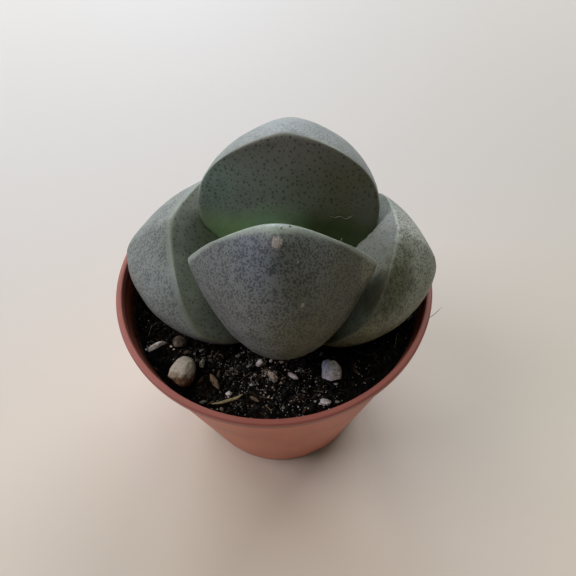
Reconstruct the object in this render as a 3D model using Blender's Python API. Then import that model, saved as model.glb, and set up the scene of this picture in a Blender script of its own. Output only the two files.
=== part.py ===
"""Split rock plant (two crossed pairs of thick stone-like leaves) in a small
plastic pot of dark soil mix.

Metres, +Z up.  Origin: centre of the pot's foot on the surface it stands on.
+X is to the right and +Y is away from the viewer who sees the front leaf's
back first.  Dimensions below are in millimetres and degrees.
"""
import math

import bpy
import bmesh
import numpy as np
from mathutils import Matrix, Vector, noise
from mathutils.bvhtree import BVHTree

MM = 0.001

# ------------------------------------------------------------------ pot
RIM_R = 27.5            # outside of the lip, the pot's widest place
LIP_IN_R = 26.45        # inside of the lip
LIP_UNDER_Z = 46.6      # underside of the lip
UNDER_LIP_R = 27.0      # outside of the wall just under the lip
POT_H = 48.0
BASE_R = 19.8           # outside of the wall at the foot
WALL = 0.8
FLOOR_UNDER = 1.6       # recess under the floor
FLOOR_TOP = 2.6
FOOT_IN_R = 17.9        # inside of the foot ring
POT_STEPS = 64
NOTCH_COUNT = 5         # drain notches through the foot
NOTCH_W = 3.2
NOTCH_TOP = 3.2
NOTCH_IN_R = 17.3
NOTCH_FIRST_DEG = 4.0

# ------------------------------------------------------------------ soil
SOIL_Z = 43.5           # mean level of the surface
SOIL_ROUGH = 0.45
SOIL_RINGS = 15
SOIL_SECTORS = 56
GAP = 0.35              # clearance between neighbouring solids

# ------------------------------------------------------------------ leaves
# A leaf is a boat-shaped wedge.  Its inner face is nearly flat, and its
# margin is widest at `widest_at` above the base.  Its back is a keeled
# belly that swings forward to a chin at the tip.
#   base        middle of the inner face's lower edge
#   heading     compass direction that the back faces, from +X towards +Y
#   tilt        lean of the inner face out from upright
#   tip_power, base_power     fullness of the margin above and below the widest place
#   corner_power              sharpness of the turn at the widest place
#   tip_angle   angle between inner face and keel at the tip
#   chin, chin_run, heel_run  handles of the keel curve
#   side_power, keel_power    roundness of the cross section
#   lean        sideways drift of the tip
#   edge_round, tip_round     share of the half width and of the length that the
#                             rounding of the margin takes
LEAVES = {
    "leaf_front": dict(
        base=(1.59, -2.59, 45.38), heading=-92.4, tilt=17.6, twist=-2.4,
        length=30.5, widest_at=16.6, half_width=13.9, base_half_width=4.2,
        tip_power=1.51, corner_power=1.93, base_power=0.91,
        tip_angle=99.7, chin=5.9, belly_at=12.4, belly_depth=13.8,
        chin_run=9.6, heel_run=6.1, heel_depth=6.2,
        side_power=1.0, keel_power=1.77, lean=1.2,
        edge_round=0.05, tip_round=0.13),
    "leaf_rear": dict(
        base=(2.87, 1.59, 45.36), heading=83.0, tilt=11.1, twist=-3.7,
        length=26.9, widest_at=12.5, half_width=15.1, base_half_width=4.1,
        tip_power=1.34, corner_power=0.86, base_power=1.1,
        tip_angle=78.3, chin=6.1, belly_at=15.5, belly_depth=16.1,
        chin_run=7.9, heel_run=5.8, heel_depth=6.0,
        side_power=1.19, keel_power=1.1, lean=0.6,
        edge_round=0.05, tip_round=0.07),
    "leaf_left": dict(
        base=(0.8, 1.92, 41.73), heading=171.7, tilt=44.2, twist=-4.4,
        length=24.4, widest_at=13.6, half_width=17.1, base_half_width=7.7,
        tip_power=1.66, corner_power=1.08, base_power=2.15,
        tip_angle=84.2, chin=4.4, belly_at=21.0, belly_depth=15.6,
        chin_run=6.9, heel_run=5.7, heel_depth=5.9,
        side_power=1.39, keel_power=1.18, lean=0.3,
        edge_round=0.05, tip_round=0.07),
    "leaf_right": dict(
        base=(5.92, -1.47, 41.97), heading=-10.1, tilt=35.2, twist=-2.9,
        length=23.1, widest_at=13.8, half_width=14.3, base_half_width=7.3,
        tip_power=1.61, corner_power=0.75, base_power=2.33,
        tip_angle=79.4, chin=4.1, belly_at=14.8, belly_depth=13.1,
        chin_run=9.0, heel_run=8.0, heel_depth=7.2,
        side_power=1.5, keel_power=1.07, lean=-0.9,
        edge_round=0.05, tip_round=0.07),
}
LEAF_ACROSS = 14        # cells across a leaf
LEAF_ALONG = 15         # cells from base to tip

# ------------------------------------------------------------------ stem
CROWN_XY = (3.0, -0.4)
CROWN_R = 4.6
CROWN_TOP = 41.0
CROWN_DOME = 45.2       # top of the young tissue between the leaf bases
CROWN_RINGS = (0.12, 0.26, 0.4, 0.54, 0.68, 0.84)
ROOT_PROFILE = [(4.6, 36.0), (3.6, 33.0), (2.3, 28.0), (1.4, 21.0), (0.7, 14.0)]


# ------------------------------------------------------------------ helpers
def clear_scene():
    for ob in list(bpy.data.objects):
        bpy.data.objects.remove(ob, do_unlink=True)


def material(name, color, roughness, metallic=0.0):
    mat = bpy.data.materials.new(name)
    mat.use_nodes = True
    bsdf = mat.node_tree.nodes["Principled BSDF"]
    bsdf.inputs["Base Color"].default_value = (*color, 1.0)
    bsdf.inputs["Roughness"].default_value = roughness
    bsdf.inputs["Metallic"].default_value = metallic
    mat.diffuse_color = (*color, 1.0)
    return mat


def add_object(name, bm, mat, smooth=True):
    bmesh.ops.remove_doubles(bm, verts=bm.verts, dist=1e-7)
    bmesh.ops.recalc_face_normals(bm, faces=bm.faces)
    me = bpy.data.meshes.new(name)
    bm.to_mesh(me)
    bm.free()
    if smooth:
        me.shade_smooth()
    me.materials.append(mat)
    ob = bpy.data.objects.new(name, me)
    bpy.context.scene.collection.objects.link(ob)
    return ob


# ------------------------------------------------------------------ leaf form
def smooth_step(x):
    x = np.clip(x, 0.0, 1.0)
    return x * x * (3 - 2 * x)


def margin_line(p, t):
    """Half width and height of the margin, t from 0 at the tip to 1 at the base."""
    split = 0.52
    s = np.clip(t / split, 0, 1)
    r = np.clip((t - split) / (1 - split), 0, 1)
    turn = np.clip(np.cos(math.pi / 2 * s), 0, 1) ** p["corner_power"]
    up = p["widest_at"] + (p["length"] - p["widest_at"]) * turn
    wide = p["half_width"] * np.sin(math.pi / 2 * s) ** p["tip_power"]
    low_u = p["widest_at"] * (1 - r)
    low_w = p["half_width"] - (p["half_width"] - p["base_half_width"]) * r ** p["base_power"]
    tip = t < split
    return np.where(tip, wide, low_w), np.where(tip, up, low_u)


def bezier(a, b, c, d, s):
    s = s[..., None]
    return (1 - s) ** 3 * a + 3 * (1 - s) ** 2 * s * b + 3 * (1 - s) * s * s * c + s ** 3 * d


def keel_line(p, t):
    """Keel in (height, depth behind the inner face), t from tip to base."""
    split = 0.5
    tip = np.array([p["length"], 0.0])
    belly = np.array([p["belly_at"], p["belly_depth"]])
    heel = np.array([-1.0, p["heel_depth"]])
    al = math.radians(p["tip_angle"])
    s = np.clip(t / split, 0, 1)
    r = np.clip((t - split) / (1 - split), 0, 1)
    upper = bezier(tip, tip + p["chin"] * np.array([math.cos(al), math.sin(al)]),
                   belly + np.array([p["chin_run"], 0.0]), belly, s)
    lower = bezier(belly, belly - np.array([p["heel_run"], 0.0]),
                   heel + np.array([3.0, 3.5]), heel, r)
    return np.where((t < split)[..., None], upper, lower)


def leaf_chart(n_across, n_along, edge_round, tip_round):
    """Grid over a half disc (the tip) that stands on a rectangle (the base).

    Returns arrays a, b of shape (n_along + 1, n_across + 1).  The rows run
    from the base (b = -1) to the tip, and the outer cells are narrow.
    """
    inner = np.linspace(-1 + edge_round, 1 - edge_round, n_across - 1)
    x = np.concatenate([[-1.0], inner, [1.0]])
    v = np.concatenate([np.linspace(0.0, 1 - tip_round * 0.55, n_along), [1.0]])
    corner = math.radians(48)
    rect = 1.0 / (1.0 + (math.pi / 2 - corner))
    low = v < rect
    th = math.pi / 2 - np.clip((v - rect) / (1 - rect), 0, 1) * (math.pi / 2 - corner)
    sa, sb = np.where(low, 1.0, np.sin(th)), np.where(low, -1.0 + v / rect, np.cos(th))
    ta, tb = np.sin(corner * x), np.cos(corner * x)
    X, V = ((x + 1) / 2)[None, :], v[:, None]

    def blend(left, right, bottom, top, c00, c10, c01, c11):
        # transfinite blend of the four boundary curves
        return ((1 - X) * left[:, None] + X * right[:, None]
                + (1 - V) * bottom[None, :] + V * top[None, :]
                - ((1 - X) * (1 - V) * c00 + X * (1 - V) * c10
                   + (1 - X) * V * c01 + X * V * c11))

    A = blend(-sa, sa, x, ta, -1.0, 1.0, ta[0], ta[-1])
    B = blend(sb, sb, -np.ones_like(x), tb, -1.0, -1.0, tb[0], tb[-1])
    return A, B


def leaf_points(p, A, B, back):
    """Leaf-frame points (across, up, behind) for chart positions."""
    A, B = A.copy(), B.copy()
    r = np.where(B > 0, np.hypot(A, B), np.abs(A))
    r = np.clip(r, 1e-9, 1.0)
    if back:
        # even steps of depth away from the margin
        g = np.where(B > 0, (B / r) ** 2, 0.0)
        q = p["keel_power"] * (1 - g) + g
        rr = np.sqrt(np.clip(1 - (1 - r * r) ** (2.0 / q), 0, 1))
        k = rr / r
        A = A * k
        B = np.where(B > 0, B * k, B)
    Bc = np.clip(B, 0, 1)
    rho = np.sqrt(np.clip(1 - Bc * Bc, 1e-12, 1))
    t = np.where(B > 0, 0.52 * np.arccos(Bc) / (math.pi / 2), 0.52 + 0.48 * np.clip(-B, 0, 1))
    st = np.clip(A / rho, -1, 1)
    wide, up = margin_line(p, t)
    lean_up = p["lean"] * np.clip(up / p["length"], 0, 1) ** 2
    if not back:
        return np.stack([lean_up + wide * st, up, np.zeros_like(up)], -1)
    keel = keel_line(p, t)
    lean_k = p["lean"] * np.clip(keel[..., 0] / p["length"], 0, 1) ** 2
    sp = np.sign(st) * np.abs(st) ** p["side_power"]
    cq = np.clip(1 - st * st, 0, 1) ** (p["keel_power"] / 2)
    w = lean_up * (1 - cq) + lean_k * cq + wide * sp
    u = up + (keel[..., 0] - up) * cq
    return np.stack([w, u, keel[..., 1] * cq], -1)


def leaf_mesh(p):
    """Closed leaf in its own frame: x across, y up the inner face, z out of it."""
    A, B = leaf_chart(LEAF_ACROSS, LEAF_ALONG, p["edge_round"], p["tip_round"])
    F = leaf_points(p, A, B, False)
    K = leaf_points(p, A, B, True)
    rows, cols = A.shape
    # the margin is rounded: each margin point moves in between its neighbours
    M = F.copy()
    for j in range(rows):
        for i in (0, cols - 1):
            ii = 1 if i == 0 else cols - 2
            M[j, i] = (F[j, ii] + 4 * F[j, i] + K[j, ii]) / 6
    for i in range(cols):
        ii = min(max(i, 1), cols - 2)
        M[rows - 1, i] = (F[rows - 2, ii] + 4 * F[rows - 1, i] + K[rows - 2, ii]) / 6
    bm = bmesh.new()

    def vert(q):
        return bm.verts.new((q[0] * MM, q[1] * MM, -q[2] * MM))

    face = [[None] * cols for _ in range(rows)]
    back = [[None] * cols for _ in range(rows)]
    for j in range(rows):
        for i in range(cols):
            if i in (0, cols - 1) or j == rows - 1:
                face[j][i] = back[j][i] = vert(M[j, i])
            else:
                face[j][i] = vert(F[j, i])
                back[j][i] = vert(K[j, i])
    for j in range(rows - 1):
        for i in range(cols - 1):
            bm.faces.new((face[j][i], face[j][i + 1], face[j + 1][i + 1], face[j + 1][i]))
            bm.faces.new((back[j][i], back[j + 1][i], back[j + 1][i + 1], back[j][i + 1]))
    for i in range(cols - 1):
        ring = [face[0][i], back[0][i], back[0][i + 1], face[0][i + 1]]
        uniq = []
        for v in ring:
            if v not in uniq:
                uniq.append(v)
        bm.faces.new(uniq)
    bmesh.ops.triangulate(bm, faces=bm.faces)
    return bm


def leaf_axes(p):
    hd, ti, tw = (math.radians(p[k]) for k in ("heading", "tilt", "twist"))
    out = Vector((math.cos(hd), math.sin(hd), 0))
    zz = Vector((0, 0, 1))
    up = out * math.sin(ti) + zz * math.cos(ti)
    nrm = -out * math.cos(ti) + zz * math.sin(ti)
    across = up.cross(nrm)
    u2 = up * math.cos(tw) + across * math.sin(tw)
    w2 = across * math.cos(tw) - up * math.sin(tw)
    return Matrix((w2, u2, nrm)).transposed()


def make_leaf(name, p, mat):
    ob = add_object(name, leaf_mesh(p), mat)
    ob.location = Vector(p["base"]) * MM
    ob.rotation_euler = leaf_axes(p).to_euler()
    return ob


# ------------------------------------------------------------------ pot
def outer_wall(z):
    return BASE_R + (UNDER_LIP_R - BASE_R) * z / LIP_UNDER_Z


def inner_wall(z):
    if z > LIP_UNDER_Z:
        k = (z - LIP_UNDER_Z) / (POT_H - LIP_UNDER_Z)
        return (UNDER_LIP_R - WALL) + (LIP_IN_R - UNDER_LIP_R + WALL) * k
    return outer_wall(z) - WALL


def make_pot(mat):
    prof = [
        (RIM_R - 0.25, POT_H), (RIM_R, POT_H - 0.25),
        (RIM_R, LIP_UNDER_Z + 0.2), (RIM_R - 0.2, LIP_UNDER_Z),
        (UNDER_LIP_R, LIP_UNDER_Z),
        (outer_wall(24), 24.0), (outer_wall(1.0), 1.0),
        (BASE_R - 0.15, 0.3), (BASE_R - 0.5, 0.0), (FOOT_IN_R, 0.0),
        (FOOT_IN_R - 0.3, FLOOR_UNDER), (0.0, FLOOR_UNDER), (0.0, FLOOR_TOP),
        (inner_wall(3.4) - 0.7, FLOOR_TOP), (inner_wall(3.4), 3.4),
        (inner_wall(24), 24.0), (inner_wall(LIP_UNDER_Z), LIP_UNDER_Z),
        (LIP_IN_R, POT_H - 0.2), (LIP_IN_R + 0.2, POT_H),
    ]
    bm = bmesh.new()
    rings = []
    for k in range(POT_STEPS):
        a = 2 * math.pi * k / POT_STEPS
        rings.append([bm.verts.new((r * MM * math.cos(a), r * MM * math.sin(a), z * MM))
                      if r > 0 else None for r, z in prof])
    axis = {i: bm.verts.new((0, 0, z * MM)) for i, (r, z) in enumerate(prof) if r == 0}
    n = len(prof)
    for k in range(POT_STEPS):
        r0, r1 = rings[k], rings[(k + 1) % POT_STEPS]
        for i in range(n):
            j = (i + 1) % n
            a, b = r0[i] or axis[i], r1[i] or axis[i]
            c, d = r1[j] or axis[j], r0[j] or axis[j]
            vs = []
            for v in (a, b, c, d):
                if v not in vs:
                    vs.append(v)
            if len(vs) > 2:
                bm.faces.new(vs)
    pot = add_object("pot", bm, mat)

    cut = bmesh.new()
    for k in range(NOTCH_COUNT):
        ang = math.radians(NOTCH_FIRST_DEG) + 2 * math.pi * k / NOTCH_COUNT
        lo, hi = NOTCH_IN_R, BASE_R + 3.0
        m = (Matrix.Rotation(ang, 4, "Z")
             @ Matrix.Translation(((lo + hi) / 2 * MM, 0, (NOTCH_TOP - 2.0) / 2 * MM))
             @ Matrix.Diagonal(((hi - lo) * MM, NOTCH_W * MM, (NOTCH_TOP + 2.0) * MM, 1)))
        bmesh.ops.create_cube(cut, size=1.0, matrix=m)
    cutter = add_object("notch_cutter", cut, mat, smooth=False)
    cutter.hide_render = True
    cutter.display_type = "WIRE"
    mod = pot.modifiers.new("drain_notches", "BOOLEAN")
    mod.operation = "DIFFERENCE"
    mod.solver = "EXACT"
    mod.object = cutter
    pot.data.set_sharp_from_angle(angle=math.radians(40))
    return pot


# ------------------------------------------------------------------ loose pieces
def lump(name, center, radii, turn_deg, mat, seed, rough=0.12, detail=2, facets=0.0):
    """A stone or grain: a ball stretched to its radii, with an uneven surface."""
    bm = bmesh.new()
    bmesh.ops.create_icosphere(bm, subdivisions=detail, radius=1.0)
    off = Vector((seed * 3.17, seed * 1.73, seed * 0.91))
    for v in bm.verts:
        d = v.co.normalized()
        k = 1.0 + rough * noise.noise(d * 1.3 + off) * 1.6 + rough * 0.5 * noise.noise(d * 3.1 + off)
        if facets:
            # press flat facets into the ball
            for f in range(7):
                over = d.dot(facet_dir(seed, f)) * k - (1.0 - facets)
                if over > 0:
                    k -= over
        v.co = Vector((d.x * radii[0], d.y * radii[1], d.z * radii[2])) * k * MM
    ob = add_object(name, bm, mat)
    ob.location = Vector(center) * MM
    ob.rotation_euler = [math.radians(x) for x in turn_deg]
    return ob


def facet_dir(seed, k):
    a = 2.399963 * (k + 1) + seed
    z = 1 - 2 * ((k * 0.381966 + 0.13 * seed) % 1.0)
    r = math.sqrt(max(0.0, 1 - z * z))
    return Vector((r * math.cos(a), r * math.sin(a), z))


def fibre(name, points, radius, mat, sides=6):
    """A dry plant fibre: a thin tube with closed, tapering ends."""
    pts = [Vector(q) for q in points]
    # smooth the route with a Catmull-Rom spline
    route = []
    ext = [pts[0] * 2 - pts[1]] + pts + [pts[-1] * 2 - pts[-2]]
    for i in range(1, len(ext) - 2):
        for k in range(3):
            s = k / 3
            p0, p1, p2, p3 = ext[i - 1], ext[i], ext[i + 1], ext[i + 2]
            route.append(0.5 * ((2 * p1) + (p2 - p0) * s + (2 * p0 - 5 * p1 + 4 * p2 - p3) * s * s
                                + (3 * p1 - p0 - 3 * p2 + p3) * s ** 3))
    route.append(pts[-1])
    bm = bmesh.new()
    rings = []
    n = len(route)
    for i, q in enumerate(route):
        tan = (route[min(i + 1, n - 1)] - route[max(i - 1, 0)]).normalized()
        side = tan.cross(Vector((0, 0, 1))).normalized()
        up = side.cross(tan)
        r = radius * (0.55 if i in (0, n - 1) else 1.0)
        rings.append([bm.verts.new((q + side * r * math.cos(a) + up * r * 0.7 * math.sin(a)) * MM)
                      for a in (2 * math.pi * k / sides for k in range(sides))])
    for i in range(n - 1):
        for k in range(sides):
            bm.faces.new((rings[i][k], rings[i][(k + 1) % sides],
                          rings[i + 1][(k + 1) % sides], rings[i + 1][k]))
    bm.faces.new(rings[0])
    bm.faces.new(rings[-1])
    return add_object(name, bm, mat)


def chip(name, a, b, width, thick, mat, roll=0.0):
    """A flake of bark between two points, thickest in its middle."""
    a, b = Vector(a), Vector(b)
    ax = (b - a).normalized()
    side = (Matrix.Rotation(math.radians(roll), 3, ax) @ ax.cross(Vector((0, 0, 1)))).normalized()
    up = side.cross(ax)
    L = (b - a).length
    bm = bmesh.new()
    rings = []
    for i, (f, wd, th) in enumerate([(0.0, 0.35, 0.5), (0.18, 0.85, 0.9), (0.5, 1.0, 1.0),
                                     (0.8, 0.75, 0.85), (1.0, 0.3, 0.45)]):
        c = a + ax * L * f
        w, t = width * wd / 2, thick * th / 2
        rings.append([bm.verts.new((c + side * x + up * z) * MM)
                      for x, z in ((-w, -t * 0.6), (-w * 0.5, -t), (w * 0.6, -t), (w, -t * 0.3),
                                   (w * 0.8, t * 0.6), (0.0, t), (-w * 0.7, t * 0.8))])
    m = len(rings[0])
    for i in range(len(rings) - 1):
        for k in range(m):
            bm.faces.new((rings[i][k], rings[i][(k + 1) % m], rings[i + 1][(k + 1) % m], rings[i + 1][k]))
    bm.faces.new(rings[0])
    bm.faces.new(rings[-1])
    bmesh.ops.triangulate(bm, faces=bm.faces)
    return add_object(name, bm, mat)


# ------------------------------------------------------------------ soil
def lower_envelope(objects, step=0.5):
    """Lowest height over each point of a square grid that any object reaches."""
    dg = bpy.context.evaluated_depsgraph_get()
    verts, polys = [], []
    for ob in objects:
        me = ob.evaluated_get(dg).to_mesh()
        mw = ob.matrix_world
        base = len(verts)
        verts += [mw @ v.co for v in me.vertices]
        polys += [[base + i for i in pl.vertices] for pl in me.polygons]
        ob.evaluated_get(dg).to_mesh_clear()
    tree = BVHTree.FromPolygons(verts, polys)
    n = int(round(2 * 28.0 / step)) + 1
    xs = np.linspace(-28.0, 28.0, n)
    env = np.full((n, n), 1e3)
    for j, y in enumerate(xs):
        for i, x in enumerate(xs):
            hit = tree.ray_cast(Vector((x * MM, y * MM, 0.0)), Vector((0, 0, 1)), 1.0)
            if hit[0] is not None:
                env[j, i] = hit[0].z / MM
    return xs, env


def low_pass_min(env, step, reach):
    k = int(math.ceil(reach / step))
    out = env.copy()
    for dj in range(-k, k + 1):
        for di in range(-k, k + 1):
            if (di * di + dj * dj) * step * step > reach * reach + 1e-9:
                continue
            out = np.minimum(out, np.roll(np.roll(env, dj, 0), di, 1))
    return out


def sampler(xs, grid):
    step = xs[1] - xs[0]

    def at(x, y):
        i = min(max(int(round((x - xs[0]) / step)), 0), len(xs) - 1)
        j = min(max(int(round((y - xs[0]) / step)), 0), len(xs) - 1)
        return grid[j, i]
    return at


def soil_level(x, y):
    """Undisturbed surface: low mounds, a little lower by the front wall."""
    v = Vector((x * 0.22, y * 0.22, 3.7))
    w = Vector((x * 0.55, y * 0.55, 9.1))
    return SOIL_Z + SOIL_ROUGH * noise.noise(v) * 1.6 + SOIL_ROUGH * 0.7 * noise.noise(w)


def make_soil(mat, at):
    """Soil fills the pot: the pot's inside taper, with a hollow under every piece on it."""
    top_r = inner_wall(SOIL_Z) - GAP
    bm = bmesh.new()

    def top_z(x, y):
        return min(soil_level(x, y), at(x, y) - GAP)

    centre = bm.verts.new((0, 0, top_z(0, 0) * MM))
    rings = []
    for k in range(1, SOIL_RINGS + 1):
        r = top_r * k / SOIL_RINGS
        ring = []
        for s in range(SOIL_SECTORS):
            a = 2 * math.pi * s / SOIL_SECTORS
            x, y = r * math.cos(a), r * math.sin(a)
            ring.append(bm.verts.new((x * MM, y * MM, top_z(x, y) * MM)))
        rings.append(ring)
    for s in range(SOIL_SECTORS):
        bm.faces.new((centre, rings[0][s], rings[0][(s + 1) % SOIL_SECTORS]))
    for k in range(SOIL_RINGS - 1):
        a, b = rings[k], rings[k + 1]
        for s in range(SOIL_SECTORS):
            s1 = (s + 1) % SOIL_SECTORS
            bm.faces.new((a[s], b[s], b[s1], a[s1]))
    low = []
    for r, z in ((inner_wall(24) - GAP, 24.0), (inner_wall(3.6) - GAP, 3.9),
                 (inner_wall(3.4) - 1.0, FLOOR_TOP + GAP)):
        low.append([bm.verts.new((r * MM * math.cos(2 * math.pi * s / SOIL_SECTORS),
                                  r * MM * math.sin(2 * math.pi * s / SOIL_SECTORS), z * MM))
                    for s in range(SOIL_SECTORS)])
    chain = [rings[-1]] + low
    for a, b in zip(chain, chain[1:]):
        for s in range(SOIL_SECTORS):
            s1 = (s + 1) % SOIL_SECTORS
            bm.faces.new((a[s], b[s], b[s1], a[s1]))
    foot = bm.verts.new((0, 0, (FLOOR_TOP + GAP) * MM))
    for s in range(SOIL_SECTORS):
        bm.faces.new((foot, low[-1][(s + 1) % SOIL_SECTORS], low[-1][s]))
    bmesh.ops.triangulate(bm, faces=bm.faces)
    return add_object("soil", bm, mat)


def lathe(name, profile, centre, mat, top=None, steps=28):
    """Solid of revolution about a vertical line; `top` shapes its upper end."""
    bm = bmesh.new()
    cx, cy = centre
    rings = []
    for r, z in profile:
        ring = []
        for s in range(steps):
            a = 2 * math.pi * s / steps
            x, y = cx + r * math.cos(a), cy + r * math.sin(a)
            zz = top(x, y, z) if top else z
            ring.append(bm.verts.new((x * MM, y * MM, zz * MM)))
        rings.append(ring)
    zt = top(cx, cy, profile[0][1]) if top else profile[0][1]
    pole = bm.verts.new((cx * MM, cy * MM, zt * MM))
    foot = bm.verts.new((cx * MM, cy * MM, (profile[-1][1] - 0.4) * MM))
    for s in range(steps):
        s1 = (s + 1) % steps
        bm.faces.new((pole, rings[0][s], rings[0][s1]))
        bm.faces.new((foot, rings[-1][s1], rings[-1][s]))
        for a, b in zip(rings, rings[1:]):
            bm.faces.new((a[s], b[s], b[s1], a[s1]))
    bmesh.ops.triangulate(bm, faces=bm.faces)
    return add_object(name, bm, mat)


# ------------------------------------------------------------------ build
def main():
    clear_scene()
    pot_mat = material("pot_plastic", (0.42, 0.15, 0.09), 0.5)
    soil_mat = material("soil_mix", (0.02, 0.017, 0.014), 0.9)
    stone_mat = material("tan_stone", (0.36, 0.31, 0.24), 0.8)
    white_mat = material("perlite_white", (0.55, 0.53, 0.50), 0.85)
    bark_mat = material("bark", (0.14, 0.10, 0.07), 0.9)
    straw_mat = material("straw", (0.35, 0.29, 0.18), 0.7)
    stem_mat = material("stem_bark", (0.20, 0.15, 0.09), 0.85)
    tints = {"leaf_front": (0.13, 0.15, 0.12), "leaf_rear": (0.15, 0.18, 0.14),
             "leaf_left": (0.16, 0.19, 0.15), "leaf_right": (0.16, 0.19, 0.14)}

    leaves = [make_leaf(n, p, material(n + "_skin", tints[n], 0.5)) for n, p in LEAVES.items()]

    loose = [
        lump("pebble_tan", (-14.8, -17.5, 45.1), (2.15, 2.8, 1.9), (8, -6, -20), stone_mat, 3, 0.08, 3),
        lump("perlite_large", (9.0, -17.75, 45.0), (1.7, 2.0, 1.6), (10, 12, 15), white_mat, 7, 0.14, 2, 0.22),
        lump("perlite_long", (-19.9, -12.3, 44.6), (1.75, 0.65, 0.6), (0, 0, 30), white_mat, 11, 0.2, 2),
        lump("clod_left", (-16.1, -11.7, 44.5), (1.3, 1.1, 0.9), (0, 10, -30), bark_mat, 5, 0.2, 2),
        lump("crumb_beige", (-0.45, -18.1, 44.3), (1.25, 0.6, 0.5), (0, 0, -44), stone_mat, 13, 0.2, 2),
        lump("perlite_small_1", (-2.45, -15.7, 44.3), (0.75, 0.65, 0.6), (0, 0, 40), white_mat, 17, 0.16, 2),
        lump("perlite_small_2", (-12.0, -15.6, 44.3), (0.55, 0.85, 0.55), (0, 0, -8), white_mat, 19, 0.16, 2),
        lump("perlite_small_3", (-7.3, -21.0, 44.4), (0.65, 0.55, 0.5), (0, 0, 20), white_mat, 23, 0.16, 2),
        lump("perlite_small_4", (2.9, -18.2, 44.3), (0.95, 0.45, 0.45), (0, 0, -38), white_mat, 29, 0.18, 2),
        lump("perlite_small_5", (7.9, -22.6, 44.2), (0.95, 0.55, 0.5), (0, 0, -6), white_mat, 31, 0.2, 2),
        chip("bark_chip_1", (-10.4, -17.6, 44.45), (-8.9, -20.1, 44.35), 1.1, 0.6, bark_mat, 10),
        chip("bark_chip_2", (-3.9, -21.5, 44.3), (-2.5, -22.3, 44.25), 0.6, 0.45, bark_mat, -15),
        fibre("straw", [(-9.9, -22.6, 44.5), (-8.3, -22.45, 44.6), (-6.95, -22.1, 44.7),
                        (-5.9, -21.8, 44.75), (-5.0, -21.2, 44.8)], 0.28, straw_mat),
    ]
    bpy.context.view_layer.update()

    xs, env = lower_envelope(leaves)
    at_leaf = sampler(xs, low_pass_min(env, xs[1] - xs[0], 0.8))

    def crown_top(x, y, z):
        if z < CROWN_TOP - 0.5:
            return z
        return min(z, at_leaf(x, y) - GAP)

    dome = [(k * CROWN_R, CROWN_TOP + (CROWN_DOME - CROWN_TOP) * (1 - k ** 3)) for k in CROWN_RINGS]
    lathe("stem_and_root", dome + [(0.97 * CROWN_R, CROWN_TOP - 0.4)] + ROOT_PROFILE,
          CROWN_XY, stem_mat, crown_top)
    bpy.context.view_layer.update()

    xs, env = lower_envelope(leaves + loose)
    soil = make_soil(soil_mat, sampler(xs, low_pass_min(env, xs[1] - xs[0], 1.3)))

    socket = lathe("root_socket", [(CROWN_R + GAP, CROWN_TOP + 8), (CROWN_R + GAP, 35.8)]
                   + [(r + GAP, z - 0.2) for r, z in ROOT_PROFILE[1:]], CROWN_XY, soil_mat)
    socket.hide_render = True
    socket.display_type = "WIRE"
    mod = soil.modifiers.new("root_socket", "BOOLEAN")
    mod.operation = "DIFFERENCE"
    mod.solver = "EXACT"
    mod.object = socket

    make_pot(pot_mat)


main()
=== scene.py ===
import math

import bpy
import bmesh
import numpy as np
from mathutils import Euler, Matrix, Vector, noise
from mathutils.bvhtree import BVHTree


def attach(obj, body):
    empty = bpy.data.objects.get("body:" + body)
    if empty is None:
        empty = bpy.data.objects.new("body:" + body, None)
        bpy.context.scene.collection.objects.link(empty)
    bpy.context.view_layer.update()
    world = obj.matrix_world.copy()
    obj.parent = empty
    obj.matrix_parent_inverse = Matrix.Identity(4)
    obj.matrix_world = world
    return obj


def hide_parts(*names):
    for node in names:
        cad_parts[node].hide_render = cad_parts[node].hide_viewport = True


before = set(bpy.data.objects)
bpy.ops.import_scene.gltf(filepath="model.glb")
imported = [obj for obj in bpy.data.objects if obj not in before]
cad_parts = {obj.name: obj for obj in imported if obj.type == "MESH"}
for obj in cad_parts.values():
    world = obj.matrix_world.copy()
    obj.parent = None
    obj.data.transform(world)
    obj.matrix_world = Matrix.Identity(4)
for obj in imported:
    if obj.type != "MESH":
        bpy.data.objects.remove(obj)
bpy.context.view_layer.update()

MM = 0.001
scene = bpy.context.scene
coll = scene.collection

# ------------------------------------------------------------------ measures, mm
RIM_R, LIP_IN_R, LIP_UNDER_Z, UNDER_LIP_R, POT_H = 27.5, 26.45, 46.6, 27.0, 48.0
BASE_R, WALL, FLOOR_UNDER, FLOOR_TOP, FOOT_IN_R = 19.8, 0.8, 1.6, 2.6, 17.9
NOTCH_COUNT, NOTCH_W, NOTCH_TOP, NOTCH_IN_R, NOTCH_FIRST_DEG = 5, 3.2, 3.2, 17.3, 4.0
SOIL_Z, SOIL_ROUGH = 43.5, 0.45
CROWN_XY, CROWN_R, CROWN_TOP, CROWN_DOME = (3.0, -0.4), 4.6, 41.0, 45.2

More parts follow.
